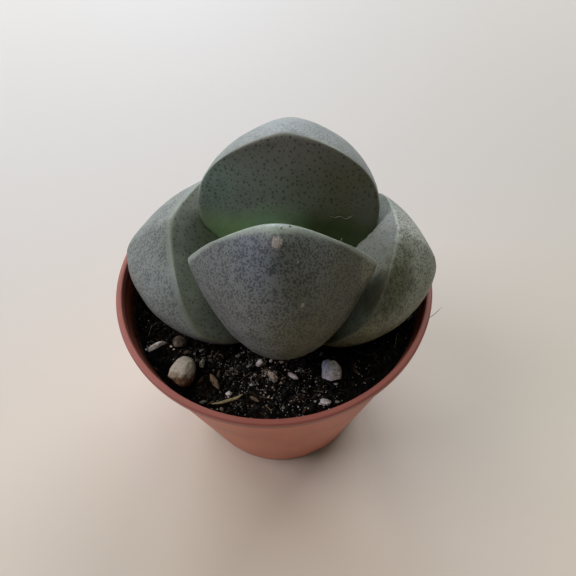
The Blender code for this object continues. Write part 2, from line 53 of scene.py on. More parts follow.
LEAVES = {
    "leaf_front": dict(
        base=(1.59, -2.59, 45.38), heading=-92.4, tilt=17.6, twist=-2.4,
        length=30.5, widest_at=16.6, half_width=13.9, base_half_width=4.2,
        tip_power=1.51, corner_power=1.93, base_power=0.91,
        tip_angle=99.7, chin=5.9, belly_at=12.4, belly_depth=13.8,
        chin_run=9.6, heel_run=6.1, heel_depth=6.2,
        side_power=1.0, keel_power=1.77, lean=1.2,
        edge_round=0.05, tip_round=0.13),
    "leaf_rear": dict(
        base=(2.87, 1.59, 45.36), heading=83.0, tilt=11.1, twist=-3.7,
        length=26.9, widest_at=12.5, half_width=15.1, base_half_width=6.2,
        tip_power=1.34, corner_power=0.86, base_power=1.9,
        tip_angle=78.3, chin=6.1, belly_at=15.5, belly_depth=16.1,
        chin_run=7.9, heel_run=5.8, heel_depth=6.0,
        side_power=1.19, keel_power=1.1, lean=0.6,
        edge_round=0.05, tip_round=0.07),
    "leaf_left": dict(
        base=(0.8, 1.92, 41.73), heading=171.7, tilt=44.2, twist=-4.4,
        length=24.4, widest_at=13.6, half_width=17.1, base_half_width=7.7,
        tip_power=1.66, corner_power=1.08, base_power=2.15,
        tip_angle=84.2, chin=4.4, belly_at=21.0, belly_depth=15.6,
        chin_run=6.9, heel_run=5.7, heel_depth=5.9,
        side_power=1.39, keel_power=1.18, lean=0.3,
        edge_round=0.05, tip_round=0.07),
    "leaf_right": dict(
        base=(5.92, -1.47, 41.97), heading=-10.1, tilt=35.2, twist=-2.9,
        length=23.1, widest_at=13.8, half_width=14.3, base_half_width=7.3,
        tip_power=1.61, corner_power=0.75, base_power=2.33,
        tip_angle=79.4, chin=4.1, belly_at=14.8, belly_depth=13.1,
        chin_run=9.0, heel_run=8.0, heel_depth=7.2,
        side_power=1.5, keel_power=1.07, lean=-0.9,
        edge_round=0.05, tip_round=0.07),
}
LEAF_GRID = (28, 30)


# ------------------------------------------------------------------ camera
# The photograph's viewing angle: 55.4 degrees above the rim's plane.
ELEV, ROLL, FOCAL_PX = math.radians(55.4), math.radians(1.3), 470.0
CAM_POS = Vector((2.400, -49.397, 114.484))
_right, _up = Vector((1, 0, 0)), Vector((0, math.sin(ELEV), math.cos(ELEV)))
CAM_F = Vector((0, math.cos(ELEV), -math.sin(ELEV)))
CAM_X = _right * math.cos(ROLL) - _up * math.sin(ROLL)
CAM_Y = _right * math.sin(ROLL) + _up * math.cos(ROLL)


def make_camera():
    data = bpy.data.cameras.new("camera")
    data.sensor_width, data.sensor_height = 36.0, 36.0
    data.lens = 36.0 * FOCAL_PX / 576.0
    data.clip_start, data.clip_end = 0.005, 20.0
    cam = bpy.data.objects.new("camera", data)
    m = Matrix((CAM_X, CAM_Y, -CAM_F)).transposed().to_4x4()
    m.translation = CAM_POS * MM
    cam.matrix_world = m
    coll.objects.link(cam)
    scene.camera = cam


def sight(u, v):
    """Start and direction (mm) of the line of sight through a point of the photograph."""
    d = CAM_X * ((u - 288) / FOCAL_PX) + CAM_Y * ((288 - v) / FOCAL_PX) + CAM_F
    return CAM_POS.copy(), d.normalized()


# ------------------------------------------------------------------ node helpers
def lin(r, g, b):
    """Display colour 0-255 to linear."""
    def f(c):
        c = c / 255.0
        return c / 12.92 if c <= 0.04045 else ((c + 0.055) / 1.055) ** 2.4
    return (f(r), f(g), f(b), 1.0)


class Net:
    """Small helper for building a material's nodes."""

    def __init__(self, name):
        self.mat = bpy.data.materials.new(name)
        self.mat.use_nodes = True
        self.t = self.mat.node_tree
        self.t.nodes.clear()
        self.out = self.t.nodes.new("ShaderNodeOutputMaterial")
        self.bsdf = self.t.nodes.new("ShaderNodeBsdfPrincipled")
        self.t.links.new(self.bsdf.outputs[0], self.out.inputs["Surface"])

    def _set(self, sock, v):
        if isinstance(v, bpy.types.NodeSocket):
            self.t.links.new(v, sock)
        elif v is not None:
            sock.default_value = v

    def new(self, kind, **props):
        n = self.t.nodes.new(kind)
        for k, v in props.items():
            setattr(n, k, v)
        return n

    def attr(self, name, out="Fac"):
        return self.new("ShaderNodeAttribute", attribute_type="GEOMETRY", attribute_name=name).outputs[out]

    def coords(self):
        """Object coordinates in millimetres."""
        tc = self.new("ShaderNodeTexCoord")
        return self.vscale(tc.outputs["Object"], (1000, 1000, 1000))

    def vscale(self, v, s):
        n = self.new("ShaderNodeVectorMath", operation="MULTIPLY")
        self._set(n.inputs[0], v)
        n.inputs[1].default_value = s
        return n.outputs[0]

    def vadd(self, a, b):
        n = self.new("ShaderNodeVectorMath", operation="ADD")
        self._set(n.inputs[0], a)
        self._set(n.inputs[1], b)
        return n.outputs[0]

    def vdist(self, a, b):
        n = self.new("ShaderNodeVectorMath", operation="DISTANCE")
        self._set(n.inputs[0], a)
        self._set(n.inputs[1], b)
        return n.outputs["Value"]

    def math(self, op, a, b=None, c=None, clamp=False):
        n = self.new("ShaderNodeMath", operation=op, use_clamp=clamp)
        self._set(n.inputs[0], a)
        self._set(n.inputs[1], b)
        self._set(n.inputs[2], c)
        return n.outputs[0]

    def noise(self, v, scale, detail=2.0, rough=0.5, out="Fac", distortion=0.0):
        n = self.new("ShaderNodeTexNoise")
        self._set(n.inputs["Vector"], v)
        n.inputs["Scale"].default_value = scale
        n.inputs["Detail"].default_value = detail
        n.inputs["Roughness"].default_value = rough
        n.inputs["Distortion"].default_value = distortion
        return n.outputs[out]

    def cells(self, v, scale, random=1.0, out="Distance", feature="F1"):
        n = self.new("ShaderNodeTexVoronoi", feature=feature)
        self._set(n.inputs["Vector"], v)
        n.inputs["Scale"].default_value = scale
        n.inputs["Randomness"].default_value = random
        return n.outputs[out]

    def step(self, x, lo, hi, a=0.0, b=1.0):
        """Smooth step from a at lo to b at hi."""
        n = self.new("ShaderNodeMapRange", interpolation_type="SMOOTHSTEP")
        self._set(n.inputs["Value"], x)
        self._set(n.inputs["From Min"], lo)
        self._set(n.inputs["From Max"], hi)
        self._set(n.inputs["To Min"], a)
        self._set(n.inputs["To Max"], b)
        return n.outputs[0]

    def mix(self, f, a, b, blend="MIX"):
        n = self.new("ShaderNodeMix", data_type="RGBA", blend_type=blend)
        self._set(n.inputs["Factor"], f)
        self._set(n.inputs[6], a)
        self._set(n.inputs[7], b)
        return n.outputs[2]

    def ramp(self, f, stops):
        n = self.new("ShaderNodeValToRGB")
        self._set(n.inputs[0], f)
        el = n.color_ramp.elements
        while len(el) < len(stops):
            el.new(0.5)
        for e, (pos, col) in zip(el, stops):
            e.position, e.color = pos, col
        return n.outputs[0]

    def bump(self, h, strength, dist_mm, prev=None):
        n = self.new("ShaderNodeBump")
        n.inputs["Strength"].default_value = strength
        n.inputs["Distance"].default_value = dist_mm * MM
        self._set(n.inputs["Height"], h)
        if prev is not None:
            self._set(n.inputs["Normal"], prev)
        return n.outputs[0]

    def finish(self, color, rough, normal=None, **fixed):
        self._set(self.bsdf.inputs["Base Color"], color)
        self._set(self.bsdf.inputs["Roughness"], rough)
        if normal is not None:
            self._set(self.bsdf.inputs["Normal"], normal)
        for k, v in fixed.items():
            self.bsdf.inputs[k.replace("_", " ")].default_value = v
        return self.mat


# ------------------------------------------------------------------ mesh helpers
def mesh_object(name, verts, faces, mat, smooth=True):
    me = bpy.data.meshes.new(name)
    me.from_pydata([tuple(v) for v in verts], [], faces)
    me.update()
    if smooth:
        me.shade_smooth()
    if mat:
        me.materials.append(mat)
    ob = bpy.data.objects.new(name, me)
    coll.objects.link(ob)
    return ob


def positions(me):
    co = np.empty(len(me.vertices) * 3)
    me.vertices.foreach_get("co", co)
    return co.reshape(-1, 3)


def vertex_normals(me):
    no = np.empty(len(me.vertices) * 3)
    me.vertices.foreach_get("normal", no)
    return no.reshape(-1, 3)


def set_positions(me, co):
    me.vertices.foreach_set("co", np.asarray(co, float).ravel())
    me.update()


def put_attribute(me, name, data, kind="FLOAT"):
    a = me.attributes.get(name) or me.attributes.new(name, kind, "POINT")
    data = np.asarray(data, float)
    a.data.foreach_set("vector" if kind == "FLOAT_VECTOR" else "value", data.ravel())


def get_attribute(me, name):
    a = me.attributes[name]
    out = np.empty(len(a.data))
    a.data.foreach_get("value", out)
    return out


def applied(ob):
    """The object's mesh with its modifiers applied, as a fresh mesh."""
    dg = bpy.context.evaluated_depsgraph_get()
    return bpy.data.meshes.new_from_object(ob.evaluated_get(dg), depsgraph=dg)


def bake_modifiers(ob):
    me = applied(ob)
    old = ob.data
    ob.modifiers.clear()
    ob.data = me
    bpy.data.meshes.remove(old)
    return ob


def smoothstep(x, lo, hi):
    t = np.clip((np.asarray(x, float) - lo) / (hi - lo), 0, 1)
    return t * t * (3 - 2 * t)


def fbm(points, scale, octaves=3, gain=0.5, shift=(0, 0, 0)):
    """Layered noise at each point, about -1 to 1."""
    out = np.zeros(len(points))
    s, a = scale, 1.0
    off = Vector(shift)
    for _ in range(octaves):
        out += a * np.array([noise.noise(Vector(q) * s + off) for q in points])
        s *= 2.03
        a *= gain
        off = off + Vector((17.3, 9.1, 4.7))
    return out


def settle(ob, slot_name, *nodes):
    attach(ob, "root")
    if nodes:
        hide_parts(*nodes)
    return ob


# ------------------------------------------------------------------ leaf form
def margin_line(p, t):
    split = 0.52
    s = np.clip(t / split, 0, 1)
    r = np.clip((t - split) / (1 - split), 0, 1)
    turn = np.clip(np.cos(math.pi / 2 * s), 0, 1) ** p["corner_power"]
    up = p["widest_at"] + (p["length"] - p["widest_at"]) * turn
    wide = p["half_width"] * np.sin(math.pi / 2 * s) ** p["tip_power"]
    low_u = p["widest_at"] * (1 - r)
    low_w = p["half_width"] - (p["half_width"] - p["base_half_width"]) * r ** p["base_power"]
    tip = t < split
    return np.where(tip, wide, low_w), np.where(tip, up, low_u)


def bezier(a, b, c, d, s):
    s = s[..., None]
    return (1 - s) ** 3 * a + 3 * (1 - s) ** 2 * s * b + 3 * (1 - s) * s * s * c + s ** 3 * d


def keel_line(p, t):
    split = 0.5
    tip = np.array([p["length"], 0.0])
    belly = np.array([p["belly_at"], p["belly_depth"]])
    heel = np.array([-1.0, p["heel_depth"]])
    al = math.radians(p["tip_angle"])
    s = np.clip(t / split, 0, 1)
    r = np.clip((t - split) / (1 - split), 0, 1)
    upper = bezier(tip, tip + p["chin"] * np.array([math.cos(al), math.sin(al)]),
                   belly + np.array([p["chin_run"], 0.0]), belly, s)
    lower = bezier(belly, belly - np.array([p["heel_run"], 0.0]),
                   heel + np.array([3.0, 3.5]), heel, r)
    return np.where((t < split)[..., None], upper, lower)


def leaf_chart(n_across, n_along, edge_round, tip_round):
    inner = np.linspace(-1 + edge_round, 1 - edge_round, n_across - 1)
    x = np.concatenate([[-1.0], inner, [1.0]])
    v = np.concatenate([np.linspace(0.0, 1 - tip_round * 0.55, n_along), [1.0]])
    corner = math.radians(48)
    rect = 1.0 / (1.0 + (math.pi / 2 - corner))
    low = v < rect
    th = math.pi / 2 - np.clip((v - rect) / (1 - rect), 0, 1) * (math.pi / 2 - corner)
    sa, sb = np.where(low, 1.0, np.sin(th)), np.where(low, -1.0 + v / rect, np.cos(th))
    ta, tb = np.sin(corner * x), np.cos(corner * x)
    X, V = ((x + 1) / 2)[None, :], v[:, None]

    def blend(left, right, bottom, top, c00, c10, c01, c11):
        return ((1 - X) * left[:, None] + X * right[:, None]
                + (1 - V) * bottom[None, :] + V * top[None, :]
                - ((1 - X) * (1 - V) * c00 + X * (1 - V) * c10
                   + (1 - X) * V * c01 + X * V * c11))

    A = blend(-sa, sa, x, ta, -1.0, 1.0, ta[0], ta[-1])
    B = blend(sb, sb, -np.ones_like(x), tb, -1.0, -1.0, tb[0], tb[-1])
    return A, B


def leaf_points(p, A, B, back):
    A, B = A.copy(), B.copy()
    r = np.where(B > 0, np.hypot(A, B), np.abs(A))
    r = np.clip(r, 1e-9, 1.0)
    if back:
        g = np.where(B > 0, (B / r) ** 2, 0.0)
        q = p["keel_power"] * (1 - g) + g
        rr = np.sqrt(np.clip(1 - (1 - r * r) ** (2.0 / q), 0, 1))
        k = rr / r
        A = A * k
        B = np.where(B > 0, B * k, B)
    Bc = np.clip(B, 0, 1)
    rho = np.sqrt(np.clip(1 - Bc * Bc, 1e-12, 1))
    t = np.where(B > 0, 0.52 * np.arccos(Bc) / (math.pi / 2), 0.52 + 0.48 * np.clip(-B, 0, 1))
    st = np.clip(A / rho, -1, 1)
    wide, up = margin_line(p, t)
    lean_up = p["lean"] * np.clip(up / p["length"], 0, 1) ** 2
    if not back:
        return np.stack([lean_up + wide * st, up, np.zeros_like(up)], -1)
    keel = keel_line(p, t)
    lean_k = p["lean"] * np.clip(keel[..., 0] / p["length"], 0, 1) ** 2
    sp = np.sign(st) * np.abs(st) ** p["side_power"]
    cq = np.clip(1 - st * st, 0, 1) ** (p["keel_power"] / 2)
    w = lean_up * (1 - cq) + lean_k * cq + wide * sp
    u = up + (keel[..., 0] - up) * cq
    return np.stack([w, u, keel[..., 1] * cq], -1)


def leaf_axes(p):
    hd, ti, tw = (math.radians(p[k]) for k in ("heading", "tilt", "twist"))
    out = np.array((math.cos(hd), math.sin(hd), 0))
    zz = np.array((0, 0, 1.0))
    up = out * math.sin(ti) + zz * math.cos(ti)
    nrm = -out * math.cos(ti) + zz * math.sin(ti)
    across = np.cross(up, nrm)
    u2 = up * math.cos(tw) + across * math.sin(tw)
    w2 = across * math.cos(tw) - up * math.sin(tw)
    return w2, u2, nrm


ROLL = {"leaf_front": 0.38, "leaf_rear": 0.12, "leaf_left": 0.10, "leaf_right": 0.10}


def make_leaf(name, mat, seed):
    """A smooth leaf with the same form as its solid, plus the skin's slight unevenness.

    Attributes: skin (leaf-frame position, mm), inner (1 on the inner face),
    rim (0 at the margin, rising inwards), rise (0 at the base, 1 at the tip).
    """
    p = LEAVES[name]
    A, B = leaf_chart(LEAF_GRID[0], LEAF_GRID[1], p["edge_round"], p["tip_round"])
    F, K = leaf_points(p, A, B, False), leaf_points(p, A, B, True)
    rows, cols = A.shape
    M = F.copy()
    for j in range(rows):
        for i, ii in ((0, 1), (cols - 1, cols - 2)):
            M[j, i] = (F[j, ii] + 4 * F[j, i] + K[j, ii]) / 6
    for i in range(cols):
        ii = min(max(i, 1), cols - 2)
        M[rows - 1, i] = (F[rows - 2, ii] + 4 * F[rows - 1, i] + K[rows - 2, ii]) / 6
    r = np.where(B > 0, np.hypot(A, B), np.abs(A))
    verts, inner, rim = [], [], []
    face = -np.ones((rows, cols), int)
    back = -np.ones((rows, cols), int)
    for j in range(rows):
        for i in range(cols):
            if i in (0, cols - 1) or j == rows - 1:
                face[j, i] = back[j, i] = len(verts)
                verts.append(M[j, i]); inner.append(0.5); rim.append(0.0)
            else:
                face[j, i] = len(verts)
                verts.append(F[j, i]); inner.append(1.0); rim.append(1 - r[j, i])
                back[j, i] = len(verts)
                verts.append(K[j, i]); inner.append(0.0); rim.append(1 - r[j, i])
    faces = []
    for j in range(rows - 1):
        for i in range(cols - 1):
            faces.append([face[j, i], face[j, i + 1], face[j + 1, i + 1], face[j + 1, i]])
            faces.append([back[j, i], back[j + 1, i], back[j + 1, i + 1], back[j, i + 1]])
    for i in range(cols - 1):
        ring = [face[0, i], back[0, i], back[0, i + 1], face[0, i + 1]]
        faces.append(list(dict.fromkeys(int(k) for k in ring)))
    faces = [[int(k) for k in f] for f in faces]
    local = np.array(verts) * (1, 1, -1)            # x across, y up, z out of the inner face
    ob = mesh_object(name + "_skin", local * MM, faces, mat)
    put_attribute(ob.data, "inner", inner)
    put_attribute(ob.data, "rim", rim)
    sub = ob.modifiers.new("round", "SUBSURF")
    sub.levels = sub.render_levels = 2
    bake_modifiers(ob)
    me = ob.data
    co = positions(me) / MM
    nrm = vertex_normals(me)
    inn, rm = get_attribute(me, "inner"), get_attribute(me, "rim")
    put_attribute(me, "skin", co, "FLOAT_VECTOR")
    put_attribute(me, "rise", np.clip(co[:, 1] / p["length"], 0, 1))
    # living skin is never quite even: slow swells, finer on the inner face
    swell = fbm(co, 0.13, 2, 0.5, (seed * 7.1, 3.0, 1.0))
    fine = fbm(co, 0.55, 2, 0.5, (seed * 2.3, 8.0, 5.0))
    keep = 0.35 + 0.65 * smoothstep(rm, 0.0, 0.15)
    push = keep * (0.16 * swell * (1 - 0.35 * inn) + 0.030 * fine)
    co = co + nrm * push[:, None]
    # the tip's margin is thick and rolls over towards the inner face
    rise = np.clip(co[:, 1] / p["length"], 0, 1)
    roll = smoothstep(rise, 0.74, 0.97) * np.exp(-(rm / 0.10) ** 2) * smoothstep(inn, 0.0, 0.5)
    co[:, 2] += ROLL[name] * roll
    if name == "leaf_front":                        # its right-hand corner stands a little higher
        co[:, 1] += 0.55 * smoothstep(-co[:, 0], 9.0, 13.5) * smoothstep(co[:, 1], 11.0, 17.0)
    W, U, N = leaf_axes(p)
    world = np.array(p["base"]) + co[:, :1] * W + co[:, 1:2] * U + co[:, 2:] * N
    set_positions(me, world * MM)
    settle(ob, name, name)
    return ob


def local_of(name, world_mm):
    """World point (mm) to a leaf's own frame."""
    p = LEAVES[name]
    W, U, N = leaf_axes(p)
    d = np.asarray(world_mm, float) - np.array(p["base"])
    return np.stack([d @ W, d @ U, d @ N], -1)


def tree_of(objects):
    verts, polys = [], []
    for ob in objects:
        base = len(verts)
        co = positions(ob.data) / MM
        verts += [Vector(q) for q in co]
        polys += [[base + i for i in pl.vertices] for pl in ob.data.polygons]
    return BVHTree.FromPolygons(verts, polys)


def groove(ob, name, route, width, depth):
    """Press a soft line into a leaf along a route of world points (mm)."""
    me = ob.data
    co = positions(me) / MM
    nrm = vertex_normals(me)
    best = np.full(len(co), 1e9)
    for a, b in zip(route[:-1], route[1:]):
        a, b = np.array(a), np.array(b)
        ab = b - a
        t = np.clip(((co - a) @ ab) / (ab @ ab), 0, 1)
        best = np.minimum(best, np.linalg.norm(co - (a + t[:, None] * ab), axis=1))
    k = np.exp(-(best / width) ** 2)
    set_positions(me, (co - nrm * (depth * k)[:, None]) * MM)


def yield_to(ob, name, other, gap=0.05):
    """Where another leaf presses on this one, its inner face gives way."""
    me = ob.data
    co = positions(me) / MM
    into = -Vector(leaf_axes(LEAVES[name])[2])
    tree = tree_of([other])
    for i, q in enumerate(co):
        q = Vector(q)
        near = tree.find_nearest(q, 5.0)
        if near[0] is None:
            continue
        out = (q - near[0]).dot(near[1])
        if out < 0.0:
            hit = tree.ray_cast(q, into, 8.0)
            if hit[0] is not None:
                co[i] = q + into * (hit[3] + gap)
        elif out < gap:
            co[i] = q + into * (gap - out)
    set_positions(me, co * MM)


# ------------------------------------------------------------------ leaf skin
def leaf_material(name, tone, marks=(), tints_and_painted_light=()):
    """Waxy grey-green skin with dark dots.

    tone: four colours of the back (left and right as seen facing it, tip, base), four of
    the inner face (left, right, tip, base), the margin, and the size and depth of the dots;
    the left and right colours are lighter and darker copies of one skin, painted light and shade.
    marks: (place in the leaf's frame, radii, colour, strength). tints: the same, soft and flat;
    mostly painted light and painted shade.
    """
    n = Net(name)
    skin = n.attr("skin", "Vector")
    inner = n.step(n.attr("inner"), 0.42, 0.58)
    rim = n.attr("rim")
    rise = n.attr("rise")
    sx = n.new("ShaderNodeSeparateXYZ")
    n._set(sx.inputs[0], skin)
    across = sx.outputs[0]

    slow = n.noise(skin, 0.15, 2.0, 0.5)
    mid = n.noise(skin, 0.62, 3.0, 0.55)
    fine = n.noise(skin, 4.6, 2.0, 0.6)
    off = n.math("SUBTRACT", mid, 0.5)
    drift = n.math("SUBTRACT", slow, 0.5)

    # the back's dots are small, crowded and run together along the leaf
    wob = n.vscale(n.vadd(n.noise(skin, 1.3, 2.0, 0.6, "Color"), (-0.5, -0.5, -0.5)), (0.55, 0.55, 0.55))
    vb = n.vadd(n.vscale(skin, (1.0, tone.get("stretch", 0.8), 1.0)), wob)
    db = n.cells(vb, tone.get("back_scale", 2.4), 0.9)
    db = n.math("ADD", db, n.math("MULTIPLY", off, 0.45))
    cut = tone.get("back_cut", 0.46)
    dots_b = n.step(db, cut - 0.13, cut + 0.13, 1.0, 0.0)
    # a finer second size between them
    db2 = n.cells(n.vadd(vb, (3.3, 1.7, 5.1)), tone.get("back_scale", 2.4) * 1.7, 1.0)
    dots_b = n.math("MAXIMUM", dots_b, n.step(db2, 0.22, 0.42, 0.5, 0.0))
    # the inner face's dots are round, larger and well apart
    flat = n.vscale(skin, (1.0, tone.get("face_stretch", 0.86), 0.0))
    vf = n.vadd(flat, n.vscale(wob, (0.35, 0.35, 0.0)))
    f1 = n.new("ShaderNodeTexVoronoi", voronoi_dimensions="2D", feature="F1")
    n._set(f1.inputs["Vector"], vf)
    f1.inputs["Scale"].default_value = tone.get("face_scale", 1.0)
    f1.inputs["Randomness"].default_value = 0.85
    sep = n.new("ShaderNodeSeparateColor")
    n._set(sep.inputs[0], f1.outputs["Color"])
    size = n.math("MULTIPLY_ADD", sep.outputs[0], tone.get("face_vary", 0.14), tone.get("face_cut", 0.13))
    dots_f = n.step(n.math("SUBTRACT", f1.outputs["Distance"], size), -0.06, 0.07, 1.0, 0.0)
    f2 = n.new("ShaderNodeTexVoronoi", voronoi_dimensions="2D", feature="F1")
    n._set(f2.inputs["Vector"], n.vadd(vf, (5.3, 2.9, 0.0)))
    f2.inputs["Scale"].default_value = tone.get("face_scale", 1.0) * 1.55
    f2.inputs["Randomness"].default_value = 1.0
    crowd = n.math("MAXIMUM", n.step(rim, 0.03, 0.30, 0.9, 0.0),
                   n.math("MULTIPLY", n.step(n.math("ADD", across, n.math("MULTIPLY", drift, 10.0)),
                                             -9.0, 2.0, 0.8, 0.0), tone.get("crowd", 1.0)))
    dots_f = n.math("MAXIMUM", dots_f, n.math("MULTIPLY", n.step(f2.outputs["Distance"], 0.10, 0.26, 0.75, 0.0), crowd))
    clear = n.step(n.math("ADD", rise, n.math("MULTIPLY", off, 0.16)),
                   tone.get("clear_lo", 0.22), tone.get("clear_hi", 0.5))
    dots_f = n.math("MULTIPLY", dots_f, clear)

    # back: the two sides of the keel get a lighter and a darker copy of the skin, painted light and painted shade; then
    # the base and tip colours
    blur = tone.get("side_blur", 5.0)
    side = n.step(n.math("ADD", n.math("ADD", across, tone.get("side_at", 0.0)), n.math("MULTIPLY", drift, 8.0)),
                  -blur, blur)
    back = n.mix(side, tone["back_right"], tone["back_left"])
    back = n.mix(n.step(n.math("ADD", rise, n.math("MULTIPLY", drift, 0.3)),
                        tone.get("low_lo", 0.1), tone.get("low_hi", 0.5), 0.9, 0.0), back, tone["back_low"])
    back = n.mix(n.step(n.math("ADD", rise, n.math("MULTIPLY", drift, 0.25)),
                        tone.get("top_lo", 0.7), tone.get("top_hi", 1.0), 0.0, 0.9), back, tone["back_top"])
    # inner face: green at the base, grey-green above; its left and right halves, and the two sides of the green base,
    # are lighter and darker copies: painted light and painted shade
    face = n.mix(n.step(n.math("ADD", across, n.math("MULTIPLY", drift, 8.0)), -9.0, 9.0),
                 tone["face_left"], tone["face_right"])
    face = n.mix(n.step(rise, 0.7, 1.0, 0.0, 0.8), face, tone["face_top"])
    face = n.mix(n.step(n.math("ADD", rise, n.math("MULTIPLY", drift, 0.22)),
                        tone.get("green_lo", 0.3), tone.get("green_hi", 0.62), 1.0, 0.0), face,
                 n.mix(n.step(n.math("ADD", across, n.math("MULTIPLY", drift, 5.0)), -2.0, 4.5),
                       tone["green"], tone.get("green_right", tone["green"])))
    base = n.mix(inner, back, face)
    # soft patches of painted light and painted shade, some also shifting the hue
    for place, radii, tint, strength in tints_and_painted_light:
        q = n.vscale(n.vadd(skin, tuple(-c for c in place)), tuple(1.0 / r for r in radii))
        far = n.math("ADD", n.vdist(q, (0, 0, 0)), n.math("MULTIPLY", off, 0.8))
        base = n.mix(n.step(far, 0.25, 1.25, strength, 0.0), base, tint)
    gray = n.math("MULTIPLY", n.math("MULTIPLY_ADD", mid, 0.36, 0.82), n.math("MULTIPLY_ADD", fine, 0.2, 0.9))
    half = n.math("MULTIPLY", gray, 0.5)
    base = n.mix(1.0, base, n.ramp(half, [(0.0, (0, 0, 0, 1)), (1.0, (2, 2, 2, 1))]), "MULTIPLY")
    # pale, smooth margin, wider at the tip; its paler colour is partly a painted highlight where the rounded edge
    # catches the light
    wide = n.step(rise, 0.75, 0.98, tone.get("edge_side", 0.035), tone.get("edge_tip", 0.05))
    ragged = n.math("ADD", rim, n.math("MULTIPLY", off, 0.03))
    edge = n.math("SUBTRACT", 1.0, n.step(n.math("DIVIDE", ragged, wide), 0.55, 1.25))
    base = n.mix(n.math("MULTIPLY", edge, tone.get("edge_amount", 0.6)), base, tone["edge"])
    # dots darken what is under them
    dots = n.math("ADD", n.math("MULTIPLY", n.math("MULTIPLY", dots_b, tone["dot_b"]), n.math("SUBTRACT", 1.0, inner)),
                  n.math("MULTIPLY", n.math("MULTIPLY", dots_f, tone["dot_f"]), inner))
    dots = n.math("MULTIPLY", dots, n.math("MULTIPLY_ADD", edge, -0.75, 1.0))
    dark = n.mix(1.0, base, tone["dot_tint"], "MULTIPLY")
    color = n.mix(dots, base, dark)
    height = n.math("MULTIPLY", dots, -0.5)
    for place, radii, tint, strength in marks:
        q = n.vadd(skin, tuple(-c for c in place))
        q = n.vscale(q, tuple(1.0 / r for r in radii))
        q = n.vadd(q, n.vscale(n.vadd(n.noise(skin, 2.6, 3.0, 0.6, "Color"), (-0.5, -0.5, -0.5)), (1.5, 1.5, 1.5)))
        m = n.step(n.vdist(q, (0, 0, 0)), 0.70, 1.10, strength, 0.0)
        m = n.math("MULTIPLY", m, n.step(n.noise(skin, 6.0, 2.0, 0.6), 0.34, 0.52, 0.45, 1.0))
        color = n.mix(m, color, tint)
        height = n.math("ADD", height, n.math("MULTIPLY", m, n.math("MULTIPLY_ADD", fine, 2.0, 0.4)))
    height = n.math("ADD", height, n.math("MULTIPLY", fine, 0.6))
    height = n.math("ADD", height, n.math("MULTIPLY", n.noise(skin, 1.7, 2.0, 0.5), 0.8))
    rough = n.math("ADD", n.math("MULTIPLY", mid, 0.12), n.math("MULTIPLY_ADD", edge, -0.14, tone.get("rough", 0.46)))
    return n.finish(color, rough, n.bump(height, 0.6, 0.06),
                    Specular_IOR_Level=0.4, Subsurface_Weight=0.08,
                    Subsurface_Radius=(0.6, 1.0, 0.4), Subsurface_Scale=0.0012)


# ------------------------------------------------------------------ pot
def outer_wall(z):
    return BASE_R + (UNDER_LIP_R - BASE_R) * z / LIP_UNDER_Z


def inner_wall(z):
    if z > LIP_UNDER_Z:
        k = (z - LIP_UNDER_Z) / (POT_H - LIP_UNDER_Z)
        return (UNDER_LIP_R - WALL) + (LIP_IN_R - UNDER_LIP_R + WALL) * k
    return outer_wall(z) - WALL


def arc(cx, cz, r, a0, a1, n):
    return [(cx + r * math.cos(math.radians(a0 + (a1 - a0) * k / n)),
             cz + r * math.sin(math.radians(a0 + (a1 - a0) * k / n))) for k in range(n + 1)]


def pot_profile():
    lip = arc(RIM_R - 0.42, POT_H - 0.42, 0.42, 95, -10, 7)                  # rolled top edge
    under = arc(RIM_R - 0.28, LIP_UNDER_Z + 0.28, 0.28, 0, -80, 4)            # turned-under skirt
    neck = arc(UNDER_LIP_R + 0.14, LIP_UNDER_Z - 0.16, 0.14, 100, 180, 3)
    prof = lip + under + neck
    for z in (45.6, 42.0, 38.0, 33.0, 28.0, 23.0, 18.0, 13.0, 9.0, 6.0, 4.2, 3.4, 2.6, 1.8, 1.1):
        prof.append((outer_wall(z), z))
    prof += arc(BASE_R - 0.42, 0.42, 0.42, 0, -90, 5)
    prof += arc(FOOT_IN_R + 0.25, 0.25, 0.25, 270, 180, 3)
    prof += [(FOOT_IN_R - 0.08, 0.9), (FOOT_IN_R - 0.2, FLOOR_UNDER - 0.25)]
    prof += arc(FOOT_IN_R - 0.55, FLOOR_UNDER - 0.32, 0.32, 10, 90, 4)
    prof += [(r, FLOOR_UNDER) for r in (15.5, 12.0, 8.0, 5.2, 4.8)]
    prof += [(4.5, FLOOR_UNDER + 0.14), (2.6, FLOOR_UNDER + 0.16), (2.0, FLOOR_UNDER), (1.0, FLOOR_UNDER)]
    prof += [(0.0, FLOOR_UNDER), (0.0, FLOOR_TOP)]
    prof += [(r, FLOOR_TOP) for r in (4.0, 9.0, 14.0)]
    prof += arc(inner_wall(3.4) - 0.8, FLOOR_TOP + 0.8, 0.8, -90, 0, 4)
    for z in (6.0, 12.0, 20.0, 28.0, 35.0, 40.0, 43.0, 45.0, LIP_UNDER_Z, 47.2):
        prof.append((inner_wall(z), z))
    prof += arc(LIP_IN_R + 0.22, POT_H - 0.22, 0.22, 180, 95, 4)
    return prof


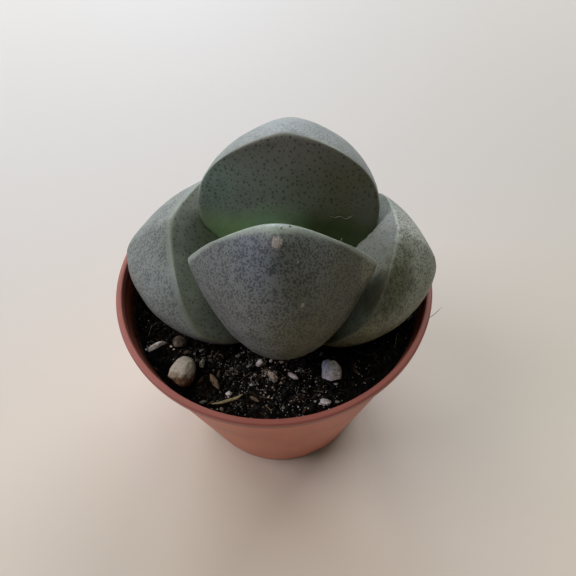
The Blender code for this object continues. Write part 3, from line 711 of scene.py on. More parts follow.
def make_pot(mat):
    steps = 200
    prof = pot_profile()
    verts, ring_at = [], []
    for k in range(steps):
        a = 2 * math.pi * k / steps
        row = []
        for r, z in prof:
            if r == 0:
                row.append(None)
                continue
            # a thin moulded wall is a little out of round and wavy at the lip
            wob = 0.05 * math.sin(2 * a + 0.7) + 0.03 * math.sin(3 * a + 2.1)
            rr = r - 0.05 + wob * smoothstep(z, 10, 48) * 0.8
            row.append(len(verts))
            verts.append((rr * math.cos(a) * MM, rr * math.sin(a) * MM, z * MM))
        ring_at.append(row)
    axis = {}
    for i, (r, z) in enumerate(prof):
        if r == 0:
            axis[i] = len(verts)
            verts.append((0, 0, z * MM))
    faces = []
    n = len(prof)
    for k in range(steps):
        a, b = ring_at[k], ring_at[(k + 1) % steps]
        for i in range(n):
            j = (i + 1) % n
            ring = [a[i] if a[i] is not None else axis[i], b[i] if b[i] is not None else axis[i],
                    b[j] if b[j] is not None else axis[j], a[j] if a[j] is not None else axis[j]]
            f = list(dict.fromkeys(ring))
            if len(f) > 2:
                faces.append(f)
    pot = mesh_object("pot_body", verts, faces, mat)
    bm = bmesh.new()
    bm.from_mesh(pot.data)
    bmesh.ops.recalc_face_normals(bm, faces=bm.faces)
    bm.to_mesh(pot.data)
    bm.free()
    cut = bmesh.new()
    for k in range(NOTCH_COUNT):
        ang = math.radians(NOTCH_FIRST_DEG) + 2 * math.pi * k / NOTCH_COUNT
        lo, hi = NOTCH_IN_R, BASE_R + 3.0
        m = (Matrix.Rotation(ang, 4, "Z")
             @ Matrix.Translation(((lo + hi) / 2 * MM, 0, (NOTCH_TOP - 2.0) / 2 * MM))
             @ Matrix.Diagonal(((hi - lo) * MM, NOTCH_W * MM, (NOTCH_TOP + 2.0) * MM, 1)))
        bmesh.ops.create_cube(cut, size=1.0, matrix=m)
    bmesh.ops.bevel(cut, geom=list(cut.edges), offset=0.35 * MM, segments=3, affect="EDGES", profile=0.5)
    me = bpy.data.meshes.new("notch_cut")
    cut.to_mesh(me)
    cut.free()
    cutter = bpy.data.objects.new("notch_cut", me)
    coll.objects.link(cutter)
    mod = pot.modifiers.new("notches", "BOOLEAN")
    mod.operation, mod.solver, mod.object = "DIFFERENCE", "EXACT", cutter
    bake_modifiers(pot)
    bpy.data.objects.remove(cutter, do_unlink=True)
    pot.data.materials.clear()
    pot.data.materials.append(mat)
    pot.data.polygons.foreach_set("material_index", [0] * len(pot.data.polygons))
    pot.data.set_sharp_from_angle(angle=math.radians(38))
    settle(pot, "pot", "pot")
    return pot


def pot_material():
    n = Net("pot_plastic_skin")
    c = n.coords()
    sx = n.new("ShaderNodeSeparateXYZ")
    n._set(sx.inputs[0], c)
    z = sx.outputs[2]
    big = n.noise(c, 0.06, 3.0, 0.55)
    streak = n.noise(n.vscale(c, (1.0, 1.0, 0.12)), 0.5, 3.0, 0.6)     # flow lines of the moulding
    fine = n.noise(c, 4.0, 3.0, 0.6)
    # painted light: the wall below the lip gets a lighter, more orange colour than the lip, though both are one plastic
    wall = n.mix(n.step(z, 5, 44), lin(200, 110, 76), lin(206, 112, 80))
    col = n.mix(n.step(big, 0.35, 0.7), wall, lin(190, 99, 68))
    col = n.mix(n.math("MULTIPLY", n.step(streak, 0.45, 0.75), 0.25), col, lin(212, 130, 100))
    lip = n.step(z, 46.3, 46.9)
    col = n.mix(n.math("MULTIPLY", lip, 0.9), col, lin(166, 97, 88))
    # painted shade in the groove under the lip
    painted_lip_shade = n.math("MULTIPLY", n.step(z, 45.9, 46.5), n.step(z, 46.75, 47.2, 1.0, 0.0))
    col = n.mix(n.math("MULTIPLY", painted_lip_shade, n.math("MULTIPLY_ADD", fine, 0.3, 0.55)), col, lin(74, 38, 30))
    # dust on the foot, and dried soil where the mix touched the inner wall; above the soil the inner wall is darkened
    # almost to black, painted shade that deepens towards the soil
    dirt = n.noise(c, 1.4, 4.0, 0.65)
    low = n.math("MULTIPLY", n.step(z, 0.0, 7.0, 1.0, 0.0), n.step(dirt, 0.52, 0.70))
    radial = n.vdist(n.vscale(c, (1, 1, 0)), (0, 0, 0))
    gap = n.math("SUBTRACT", radial, n.math("MULTIPLY_ADD", z, (UNDER_LIP_R - BASE_R) / LIP_UNDER_Z, BASE_R - 0.42))
    inside = n.math("MULTIPLY", n.step(gap, -0.15, 0.05, 1.0, 0.0), n.step(z, 3.0, 4.0))
    soil_smear_and_shade = n.math("MULTIPLY", inside, n.math("MULTIPLY", n.step(z, 43.4, 47.7, 1.0, 0.0), n.step(dirt, 0.30, 0.60, 0.72, 1.0)))
    col = n.mix(n.math("MULTIPLY", low, 0.5), col, lin(120, 92, 72))
    # painted shade on the inner wall above the soil, partly dried soil
    col = n.mix(n.math("MULTIPLY", soil_smear_and_shade, 0.96), col, lin(30, 17, 15))
    rough = n.math("MULTIPLY_ADD", fine, 0.14, n.math("MULTIPLY_ADD", soil_smear_and_shade, 0.35, 0.36))
    h = n.math("ADD", n.math("MULTIPLY", fine, 0.25), n.math("MULTIPLY", streak, 0.8))
    h = n.math("ADD", h, n.math("MULTIPLY", soil_smear_and_shade, n.math("MULTIPLY_ADD", dirt, 2.0, 1.0)))
    return n.finish(col, rough, n.bump(h, 0.25, 0.05), Specular_IOR_Level=0.45,
                    Subsurface_Weight=0.12, Subsurface_Radius=(1.0, 0.35, 0.2), Subsurface_Scale=0.0015)


# ------------------------------------------------------------------ soil
def soil_level(x, y):
    v = Vector((x * 0.22, y * 0.22, 3.7))
    w = Vector((x * 0.55, y * 0.55, 9.1))
    return SOIL_Z + SOIL_ROUGH * noise.noise(v) * 1.6 + SOIL_ROUGH * 0.7 * noise.noise(w)


class Ground:
    """The soil's surface: heights on a fine grid, kept just under whatever lies on it."""

    def __init__(self, tree, step=0.25):
        self.step, self.n = step, int(round(2 * 27.0 / step)) + 1
        self.xs = np.linspace(-27.0, 27.0, self.n)
        env = np.full((self.n, self.n), 200.0)
        up = Vector((0, 0, 1))
        for j, y in enumerate(self.xs):
            for i, x in enumerate(self.xs):
                if x * x + y * y < 27.0 ** 2:
                    h = tree.ray_cast(Vector((x, y, 10.0)), up, 100.0)
                    if h[0] is not None:
                        env[j, i] = h[0].z
        self.cover = env
        tight = env.copy()
        for dj, di in ((0, 1), (1, 0), (0, -1), (-1, 0), (1, 1), (-1, -1), (1, -1), (-1, 1)):
            tight = np.minimum(tight, np.roll(np.roll(env, dj, 0), di, 1))
        z = np.empty_like(env)
        for j, y in enumerate(self.xs):
            for i, x in enumerate(self.xs):
                q = Vector((x, y, 0.0))
                clod = noise.noise(q * 0.85 + Vector((5, 1, 2)))
                crumb = noise.noise(q * 2.1 + Vector((1, 7, 4)))
                grit = noise.noise(q * 4.6 + Vector((8, 2, 9)))
                pit = max(0.0, noise.noise(q * 1.3 + Vector((2, 8, 6))) - 0.15)
                z[j, i] = (soil_level(x, y) + 0.62 * clod + 0.34 * crumb + 0.15 * grit - 1.4 * pit)
                # the mix has shrunk from the wall, most on the left
                rr = math.hypot(x, y)
                if rr > 20.5:
                    k = min(1.0, (rr - 20.5) / 4.6)
                    z[j, i] -= k * k * (0.45 + 1.1 * max(0.0, -x / rr))
        self.z = np.minimum(z, tight - 0.08)

    def _at(self, grid, x, y):
        fx = min(max((x + 27.0) / self.step, 0), self.n - 1.001)
        fy = min(max((y + 27.0) / self.step, 0), self.n - 1.001)
        i, j = int(fx), int(fy)
        a, b = fx - i, fy - j
        return ((1 - a) * (1 - b) * grid[j, i] + a * (1 - b) * grid[j, i + 1]
                + (1 - a) * b * grid[j + 1, i] + a * b * grid[j + 1, i + 1])

    def height(self, x, y):
        return self._at(self.z, x, y)

    def roof(self, x, y):
        i = int(round((min(max(x, -27), 27) + 27.0) / self.step))
        j = int(round((min(max(y, -27), 27) + 27.0) / self.step))
        return self.cover[j, i]

    def under(self, u, v, lift=0.0):
        """Where the line of sight through a point of the photograph meets the soil (mm)."""
        o, d = sight(u, v)
        t = (SOIL_Z - o.z) / d.z
        for _ in range(6):
            q = o + d * t
            t = (self.height(q.x, q.y) + lift - o.z) / d.z
        return o + d * t


def make_soil(mat, ground):
    n = 186
    top_r = inner_wall(SOIL_Z) - 0.06
    s = np.linspace(-1, 1, n)
    a, b = np.meshgrid(s, s)
    X = a * np.sqrt(1 - b * b / 2) * top_r
    Y = b * np.sqrt(1 - a * a / 2) * top_r
    verts = [(X[j, i] * MM, Y[j, i] * MM, ground.height(X[j, i], Y[j, i]) * MM)
             for j in range(n) for i in range(n)]
    faces = [(j * n + i, j * n + i + 1, (j + 1) * n + i + 1, (j + 1) * n + i)
             for j in range(n - 1) for i in range(n - 1)]
    rim = ([i for i in range(n)] + [j * n + n - 1 for j in range(1, n)]
           + [(n - 1) * n + i for i in range(n - 2, -1, -1)] + [j * n for j in range(n - 2, 0, -1)])
    prev = rim
    for z in (38.0, 30.0, 20.0, 10.0, 3.9):
        ring = []
        for k in rim:
            x, y, _ = verts[k]
            h = math.hypot(x, y)
            r = inner_wall(z) - 0.10 - 0.12 * abs(noise.noise(Vector((x * 900, y * 900, z))))
            if z < 5:
                r = inner_wall(3.9) - 0.55
            ring.append(len(verts))
            verts.append((x / h * r * MM, y / h * r * MM, (z if z > 5 else FLOOR_TOP + 0.12) * MM))
        for i in range(len(rim)):
            j = (i + 1) % len(rim)
            faces.append((prev[i], ring[i], ring[j], prev[j]))
        prev = ring
    foot = len(verts)
    verts.append((0, 0, (FLOOR_TOP + 0.12) * MM))
    for i in range(len(rim)):
        faces.append((foot, prev[(i + 1) % len(rim)], prev[i]))
    ob = mesh_object("soil_bed", verts, faces, mat)
    bm = bmesh.new()
    bm.from_mesh(ob.data)
    bmesh.ops.recalc_face_normals(bm, faces=bm.faces)
    bm.to_mesh(ob.data)
    bm.free()
    return settle(ob, "soil", "soil")


def soil_material(name="soil_skin", lift=1.0):
    n = Net(name)
    c = n.coords()
    a = n.noise(c, 0.35, 4.0, 0.6)
    b = n.noise(c, 2.2, 4.0, 0.65)
    f = n.noise(c, 9.0, 3.0, 0.7)
    col = n.mix(n.step(b, 0.38, 0.68), lin(4, 3, 3), lin(17, 14, 12))
    col = n.mix(n.math("MULTIPLY", n.step(a, 0.5, 0.72), 0.5), col, lin(26, 19, 15))
    cell = n.cells(c, 1.7, 1.0, "Color")
    sep = n.new("ShaderNodeSeparateColor")
    n._set(sep.inputs[0], cell)
    col = n.mix(n.math("MULTIPLY", n.step(sep.outputs[0], 0.78, 0.9), 0.5), col, lin(44, 33, 26))
    fleck = n.math("MULTIPLY", n.step(n.noise(c, 6.5, 2.0, 0.7), 0.68, 0.76), n.step(f, 0.45, 0.6))
    col = n.mix(n.math("MULTIPLY", fleck, 0.75), col, lin(128, 122, 116))
    h = n.math("ADD", n.math("MULTIPLY", b, 1.6), f)
    rough = n.math("MULTIPLY_ADD", b, 0.25, 0.66)
    return n.finish(col, rough, n.bump(h, 0.9, 0.22), Specular_IOR_Level=0.12)


def grain_material(name, stops, scale=1.2, rough=0.8, bump_mm=0.08, speck=None, speck_at=(0.62, 0.7), speck_scale=3.0):
    """Small stones, crumbs and fibres: blotched colour with a rough, pitted surface."""
    n = Net(name)
    c = n.coords()
    a = n.noise(c, scale, 3.0, 0.6)
    b = n.noise(c, scale * 4.2, 3.0, 0.65)
    t = n.math("ADD", n.math("MULTIPLY", a, 0.65), n.math("MULTIPLY", b, 0.35))
    k = 1.0 / max(len(stops) - 1, 1)
    col = n.ramp(n.step(t, 0.34, 0.66), [(i * k, s) for i, s in enumerate(stops)])
    if speck:
        m = n.step(n.noise(c, speck_scale, 2.0, 0.6), speck_at[0], speck_at[1])
        col = n.mix(n.math("MULTIPLY", m, 0.85), col, speck)
    h = n.math("ADD", b, n.math("MULTIPLY", n.noise(c, scale * 9.0, 2.0, 0.6), 0.5))
    return n.finish(col, n.math("MULTIPLY_ADD", b, 0.2, rough - 0.1), n.bump(h, 0.7, bump_mm),
                    Specular_IOR_Level=0.3)


# ------------------------------------------------------------------ crumbs and fibres
def ball(level):
    bm = bmesh.new()
    bmesh.ops.create_icosphere(bm, subdivisions=level, radius=1.0)
    v = np.array([q.co[:] for q in bm.verts])
    f = [[q.index for q in fc.verts] for fc in bm.faces]
    bm.free()
    return v, f


BALLS = {k: ball(k) for k in (1, 2, 3, 4, 5)}


def chipped(unit, seed, rough, facets, scale=1.3):
    """An uneven ball: noise plus flat chips knocked off it."""
    d = unit / np.linalg.norm(unit, axis=1)[:, None]
    off = Vector((seed * 3.17, seed * 1.73, seed * 0.91))
    k = 1.0 + rough * np.array([noise.noise(Vector(q) * scale + off) * 1.6
                                + 0.5 * noise.noise(Vector(q) * scale * 2.4 + off) for q in d])
    rs = np.random.default_rng(int(seed * 100) % 100003)
    for _ in range(facets):
        m = rs.normal(size=3)
        m /= np.linalg.norm(m)
        over = (d @ m) * k - rs.uniform(0.62, 0.85)
        k = np.where(over > 0, k - over, k)
    return d * k[:, None]


class Pile:
    """Many small closed bits gathered into one mesh."""

    def __init__(self):
        self.v, self.f, self.count = [], [], 0

    def add(self, verts, faces):
        self.v.append(np.asarray(verts))
        self.f += [[i + self.count for i in fc] for fc in faces]
        self.count += len(verts)

    def build(self, name, mat, slot_name, smooth=True):
        ob = mesh_object(name, np.concatenate(self.v) * MM, self.f, mat, smooth)
        return settle(ob, slot_name)


def crumb(pile, place, radii, seed, level=1, rough=0.25, facets=3, turn=None):
    v, f = BALLS[level]
    rs = np.random.default_rng(int(seed * 977) % 1000003)
    q = chipped(v, seed, rough, facets) * np.array(radii)
    e = Euler(turn if turn is not None else rs.uniform(0, 6.28, 3)).to_matrix()
    q = q @ np.array(e).T + np.array(place)
    pile.add(q, f)


def strand(pile, route, radius, sides=5, flat=0.75, taper=0.35):
    """A thin fibre along a route of points (mm)."""
    pts = [Vector(q) for q in route]
    ext = [pts[0] * 2 - pts[1]] + pts + [pts[-1] * 2 - pts[-2]]
    path = []
    for i in range(1, len(ext) - 2):
        for k in range(3):
            s = k / 3
            a, b, c, d = ext[i - 1], ext[i], ext[i + 1], ext[i + 2]
            path.append(0.5 * ((2 * b) + (c - a) * s + (2 * a - 5 * b + 4 * c - d) * s * s
                               + (3 * b - a - 3 * c + d) * s ** 3))
    path.append(pts[-1])
    n = len(path)
    verts, faces = [], []
    for i, q in enumerate(path):
        tan = (path[min(i + 1, n - 1)] - path[max(i - 1, 0)]).normalized()
        side = tan.cross(Vector((0.05, 0.02, 1))).normalized()
        up = side.cross(tan)
        e = min(i, n - 1 - i) / max(1, (n - 1) * 0.25)
        r = radius * (taper + (1 - taper) * min(1.0, e))
        for k in range(sides):
            a = 2 * math.pi * k / sides
            verts.append(q + side * r * math.cos(a) + up * r * flat * math.sin(a))
    for i in range(n - 1):
        for k in range(sides):
            k1 = (k + 1) % sides
            faces.append([i * sides + k, i * sides + k1, (i + 1) * sides + k1, (i + 1) * sides + k])
    faces.append(list(range(sides))[::-1])
    faces.append([(n - 1) * sides + k for k in range(sides)])
    pile.add(np.array([v[:] for v in verts]), faces)


# ------------------------------------------------------------------ put together
make_camera()

leaves = {name: make_leaf(name, None, seed) for name, seed in
          (("leaf_front", 1), ("leaf_rear", 2), ("leaf_left", 3), ("leaf_right", 4))}
for older in ("leaf_left", "leaf_right"):
    yield_to(leaves[older], older, leaves["leaf_rear"])
trees = {name: tree_of([ob]) for name, ob in leaves.items()}


def spot(name, u, v):
    """Where the line of sight through a point of the photograph meets a leaf (mm)."""
    o, d = sight(u, v)
    hit = trees[name].ray_cast(o, d)
    return hit[0], hit[1]


def mark(name, u, v, radii, tint, strength=0.8):
    hit, _ = spot(name, u, v)
    return (tuple(float(c) for c in local_of(name, hit)), radii, tint, strength)


# a healed crease across the right leaf's inner face
crease = [spot("leaf_right", u, v)[0] for u, v in ((380.6, 235.0), (387, 235.2), (394, 234.2), (400.4, 233.5))]
groove(leaves["leaf_right"], "leaf_right", crease, 0.35, 0.10)

# skin colours per leaf; each left and right pair, and green against green_right, are lighter and darker copies of one
# skin: painted light and painted shade
TONES = {
    "leaf_front": dict(
        back_left=(0.178, 0.191, 0.180, 1), back_right=(0.128, 0.128, 0.086, 1),
        back_top=(0.190, 0.212, 0.210, 1), back_low=(0.120, 0.119, 0.073, 1),
        face_left=(0.234, 0.270, 0.220, 1), face_right=(0.216, 0.243, 0.180, 1),
        face_top=(0.324, 0.360, 0.330, 1), green=(0.108, 0.198, 0.070, 1), edge=(0.335, 0.375, 0.318, 1),
        dot_b=0.85, dot_f=0.8, dot_tint=(0.30, 0.31, 0.34, 1), stretch=0.74, back_scale=2.95,
        back_cut=0.45, face_scale=1.0, side_at=-0.6, side_blur=2.4, edge_side=0.035, edge_tip=0.082,
        edge_amount=0.8),
    "leaf_rear": dict(
        back_left=(0.302, 0.308, 0.300, 1), back_right=(0.320, 0.330, 0.308, 1),
        back_top=(0.302, 0.314, 0.300, 1), back_low=(0.246, 0.253, 0.204, 1),
        face_left=(0.280, 0.326, 0.286, 1), face_right=(0.128, 0.124, 0.080, 1),
        face_top=(0.196, 0.180, 0.162, 1), green=(0.315, 0.510, 0.270, 1),
        green_right=(0.054, 0.078, 0.026, 1), edge=(0.175, 0.200, 0.150, 1),
        dot_b=0.6, dot_f=0.80, dot_tint=(0.34, 0.38, 0.38, 1), stretch=0.8, back_scale=3.2,
        back_cut=0.42, face_scale=1.18, face_cut=0.10, face_vary=0.15, clear_lo=0.42, clear_hi=0.58,
        green_lo=0.35, green_hi=0.58, edge_side=0.02, edge_tip=0.02, edge_amount=0.4),
    "leaf_left": dict(
        back_left=(0.258, 0.272, 0.248, 1), back_right=(0.206, 0.228, 0.202, 1),
        back_top=(0.268, 0.288, 0.262, 1), back_low=(0.262, 0.260, 0.222, 1),
        face_left=(0.240, 0.266, 0.212, 1), face_right=(0.190, 0.208, 0.156, 1),
        face_top=(0.236, 0.258, 0.208, 1), green=(0.070, 0.092, 0.040, 1), edge=(0.205, 0.232, 0.172, 1),
        dot_b=0.75, dot_f=0.72, dot_tint=(0.34, 0.38, 0.40, 1), stretch=0.9, back_scale=2.4,
        back_cut=0.45, face_scale=1.1, face_cut=0.10, face_vary=0.14, green_lo=0.22, green_hi=0.50,
        edge_amount=0.25),
    "leaf_right": dict(
        back_left=(0.205, 0.213, 0.126, 1), back_right=(0.400, 0.405, 0.330, 1),
        back_top=(0.342, 0.360, 0.300, 1), back_low=(0.237, 0.235, 0.132, 1),
        face_left=(0.340, 0.360, 0.318, 1), face_right=(0.190, 0.202, 0.166, 1),
        face_top=(0.285, 0.305, 0.275, 1), green=(0.090, 0.100, 0.040, 1), edge=(0.250, 0.270, 0.205, 1),
        dot_b=0.8, dot_f=0.65, dot_tint=(0.34, 0.36, 0.34, 1), stretch=0.85, back_scale=2.5,
        back_cut=0.46, face_scale=1.3, face_cut=0.09, face_vary=0.14, side_blur=4.0, side_at=2.0, edge_side=0.008,
        edge_tip=0.012, edge_amount=0.1),
}
chalk, scab, speck = lin(176, 172, 164), lin(188, 174, 166), lin(34, 32, 28)
MARKS = {
    "leaf_front": [
        mark("leaf_front", 276.4, 243.4, (0.74, 0.36, 0.8), scab, 0.8),
        mark("leaf_front", 279.2, 241.6, (0.42, 0.30, 0.6), chalk, 0.8),
        mark("leaf_front", 278.2, 239.4, (0.16, 0.40, 0.4), chalk, 0.8),
        mark("leaf_front", 302.5, 305.5, (0.34, 0.28, 0.4), chalk, 0.9),
        mark("leaf_front", 298.0, 262.0, (0.22, 0.12, 0.3), chalk, 0.9),
        mark("leaf_front", 289.8, 227.6, (0.20, 0.14, 0.3), speck, 0.9),
        mark("leaf_front", 281.5, 229.5, (0.14, 0.09, 0.3), speck, 0.7),
        mark("leaf_front", 284.0, 226.6, (0.14, 0.08, 0.3), speck, 0.7),
    ],
    "leaf_rear": [mark("leaf_rear", 350.0, 216.5, (0.45, 0.16, 0.4), chalk, 0.35)],
    "leaf_left": [],
    "leaf_right": [],
}
# soft patches standing in for light and shade: painted light where they are paler, painted shade where they are darker;
# some also shift the hue
TINTS_AND_PAINTED_LIGHT = {
    "leaf_front": [
        mark("leaf_front", 257.0, 266.0, (3.4, 4.6, 4.0), (0.155, 0.184, 0.218, 1), 0.45),
        mark("leaf_front", 244.0, 246.0, (2.0, 1.4, 2.0), (0.190, 0.200, 0.290, 1), 0.30),
        mark("leaf_front", 369.0, 272.0, (2.2, 4.0, 3.4), (0.330, 0.315, 0.235, 1), 0.70),
        mark("leaf_front", 292.0, 338.0, (6.0, 3.4, 5.0), (0.118, 0.130, 0.066, 1), 0.45),
    ],
    "leaf_rear": [
        mark("leaf_rear", 214.0, 182.0, (4.2, 5.5, 3.0), (0.215, 0.330, 0.290, 1), 0.55),
        mark("leaf_rear", 282.0, 158.0, (6.0, 4.0, 3.0), (0.235, 0.215, 0.200, 1), 0.35),
        mark("leaf_rear", 366.0, 206.0, (3.0, 4.0, 3.0), (0.150, 0.165, 0.140, 1), 0.40),
    ],
    "leaf_left": [
        mark("leaf_left", 166.0, 246.0, (5.5, 2.4, 3.4), (0.160, 0.186, 0.140, 1), 0.60),
        mark("leaf_left", 178.0, 298.0, (5.5, 2.2, 3.4), (0.150, 0.168, 0.130, 1), 0.50),
    ],
    "leaf_right": [
        mark("leaf_right", 415.0, 229.0, (4.5, 5.0, 4.5), (0.560, 0.550, 0.490, 1), 0.60),
        mark("leaf_right", 401.0, 262.0, (4.6, 4.0, 3.4), (0.125, 0.130, 0.082, 1), 0.62),
        mark("leaf_right", 398.0, 284.0, (4.6, 4.4, 4.0), (0.095, 0.098, 0.046, 1), 0.72),
        mark("leaf_right", 391.0, 302.0, (3.6, 3.6, 3.6), (0.110, 0.112, 0.054, 1), 0.55),
        mark("leaf_right", 374.0, 296.0, (4.0, 4.6, 2.4), (0.080, 0.072, 0.046, 1), 0.75),
        mark("leaf_right", 386.0, 216.0, (3.6, 3.6, 2.0), (0.460, 0.480, 0.430, 1), 0.55),
    ],
}
for name, ob in leaves.items():
    ob.data.materials.append(leaf_material(name + "_wax", TONES[name], MARKS[name], TINTS_AND_PAINTED_LIGHT.get(name, ())))

# ------------------------------------------------------------------ loose pieces on the soil
def pebble_material():
    n = Net("pebble_stone")
    c = n.coords()
    sx = n.new("ShaderNodeSeparateXYZ")
    n._set(sx.inputs[0], n.vadd(c, (14.8, 17.5, -45.1)))
    a = n.noise(c, 0.9, 4.0, 0.6)
    b = n.noise(c, 4.0, 4.0, 0.65)
    # painted light and shade: the stone turns paler towards its top and back and darker brown underneath
    t = n.math("ADD", n.math("MULTIPLY", sx.outputs[1], 0.28), n.math("MULTIPLY", sx.outputs[2], 0.26))
    t = n.math("ADD", t, n.math("MULTIPLY_ADD", a, 1.5, -0.75))
    col = n.mix(n.step(t, -0.28, 0.22), lin(112, 82, 58), lin(186, 175, 162))
    col = n.mix(n.math("MULTIPLY", n.step(b, 0.52, 0.7), 0.5), col, lin(200, 186, 166))
    col = n.mix(n.math("MULTIPLY", n.step(n.noise(c, 2.6, 3.0, 0.6), 0.56, 0.72), 0.6), col, lin(84, 66, 52))
    h = n.math("ADD", b, n.math("MULTIPLY", n.noise(c, 11.0, 2.0, 0.6), 0.5))
    return n.finish(col, n.math("MULTIPLY_ADD", b, 0.2, 0.68), n.bump(h, 0.7, 0.14), Specular_IOR_Level=0.3)


def perlite_material():
    n = Net("perlite_foam")
    c = n.coords()
    a = n.noise(c, 1.4, 3.0, 0.6)
    b = n.noise(c, 6.0, 3.0, 0.65)
    pit = n.step(n.cells(c, 2.6, 1.0), 0.0, 0.5)
    col = n.mix(n.step(a, 0.35, 0.65), lin(200, 192, 194), lin(236, 231, 230))
    col = n.mix(n.math("MULTIPLY", n.step(b, 0.56, 0.7), 0.6), col, lin(120, 114, 112))
    rust = n.math("MULTIPLY", n.step(n.noise(n.vadd(c, (4, 9, 2)), 1.5, 3.0, 0.6), 0.55, 0.64), 0.6)
    col = n.mix(rust, col, lin(140, 104, 92))
    h = n.math("ADD", n.math("MULTIPLY", pit, 0.8), b)
    return n.finish(col, n.math("MULTIPLY_ADD", b, 0.1, 0.82), n.bump(h, 0.8, 0.14), Specular_IOR_Level=0.25)


pebble_mat = pebble_material()
white_mat = perlite_material()
clod_mat = grain_material("clod_earth", [lin(44, 35, 30), lin(92, 82, 72), lin(128, 120, 110)], 1.0, 0.9, 0.16)
beige_mat = grain_material("beige_crumb", [lin(104, 88, 78), lin(168, 152, 138), lin(196, 186, 172)], 2.2, 0.85, 0.10)
bark_mat = grain_material("bark_flake", [lin(60, 44, 34), lin(112, 94, 76), lin(138, 120, 98)], 1.6, 0.85, 0.10)
straw_mat = grain_material("straw_dry", [lin(120, 108, 82), lin(158, 146, 116)], 1.8, 0.7, 0.04)
dark_mat = grain_material("grit_dark_earth", [lin(5, 4, 4), lin(14, 11, 10), lin(30, 25, 22)], 0.9, 0.9, 0.08)
brown_mat = grain_material("grit_brown_wood", [lin(24, 17, 13), lin(52, 39, 30), lin(82, 67, 54)], 1.1, 0.85, 0.08)
grey_mat = grain_material("grit_grey_dust", [lin(88, 84, 82), lin(136, 131, 128), lin(172, 168, 164)], 1.8, 0.9, 0.06)


def lump_piece(name, node, mat, slot_name, place, radii, turn, seed, level, rough, facets, dents=()):
    v, f = BALLS[level]
    q = chipped(v, seed, rough, facets)
    d = q / np.linalg.norm(q, axis=1)[:, None]
    fine = fbm(d * 1.0, 3.6, 3, 0.55, (seed, 2 * seed, 5)) * 0.035
    q = q * (1 + fine)[:, None]
    q = q / np.abs(q).max(0) * 0.985
    q = q * np.array(radii)
    q = q @ np.array(Euler([math.radians(a) for a in turn]).to_matrix()).T + np.array(place)
    for at, width, depth in dents:
        at = np.array(at)
        k = np.exp(-(np.linalg.norm(q - at, axis=1) / width) ** 2)
        inward = (np.array(place) - q)
        inward /= np.linalg.norm(inward, axis=1)[:, None]
        q = q + inward * (k * depth)[:, None]
    ob = mesh_object(name, q * MM, f, mat)
    return settle(ob, slot_name, node)


def chip_piece(name, node, mat, slot_name, a, b, width, thick, roll, seed):
    """A split flake of bark: a long uneven plate with frayed ends."""
    a, b = Vector(a), Vector(b)
    ax = (b - a).normalized()
    side = (Matrix.Rotation(math.radians(roll), 3, ax) @ ax.cross(Vector((0, 0, 1)))).normalized()
    up = side.cross(ax)
    L = (b - a).length
    rows, m = 22, 18
    verts, faces = [], []
    for i in range(rows):
        f = i / (rows - 1)
        prof = min(1.0, 0.30 + 2.2 * f, 0.28 + 1.9 * (1 - f))
        for k in range(m):
            t = 2 * math.pi * k / m
            jag = 1 + 0.22 * noise.noise(Vector((f * 5, math.cos(t) * 1.4, math.sin(t) * 1.4 + seed)))
            w = width / 2 * prof * jag * math.copysign(abs(math.cos(t)) ** 0.7, math.cos(t))
            h = thick / 2 * (0.5 + 0.5 * prof) * jag * math.copysign(abs(math.sin(t)) ** 0.8, math.sin(t))
            end = 0.10 * noise.noise(Vector((math.cos(t) * 2, math.sin(t) * 2, seed + 9))) * (1 if i in (0, rows - 1) else 0)
            verts.append((a + ax * L * (f + end) + side * w + up * h)[:])
    for i in range(rows - 1):
        for k in range(m):
            k1 = (k + 1) % m
            faces.append([i * m + k, i * m + k1, (i + 1) * m + k1, (i + 1) * m + k])
    faces.append(list(range(m))[::-1])
    faces.append([(rows - 1) * m + k for k in range(m)])
    ob = mesh_object(name, np.array(verts) * MM, faces, mat)
    ob.data.set_sharp_from_angle(angle=math.radians(50))
    return settle(ob, slot_name, node)


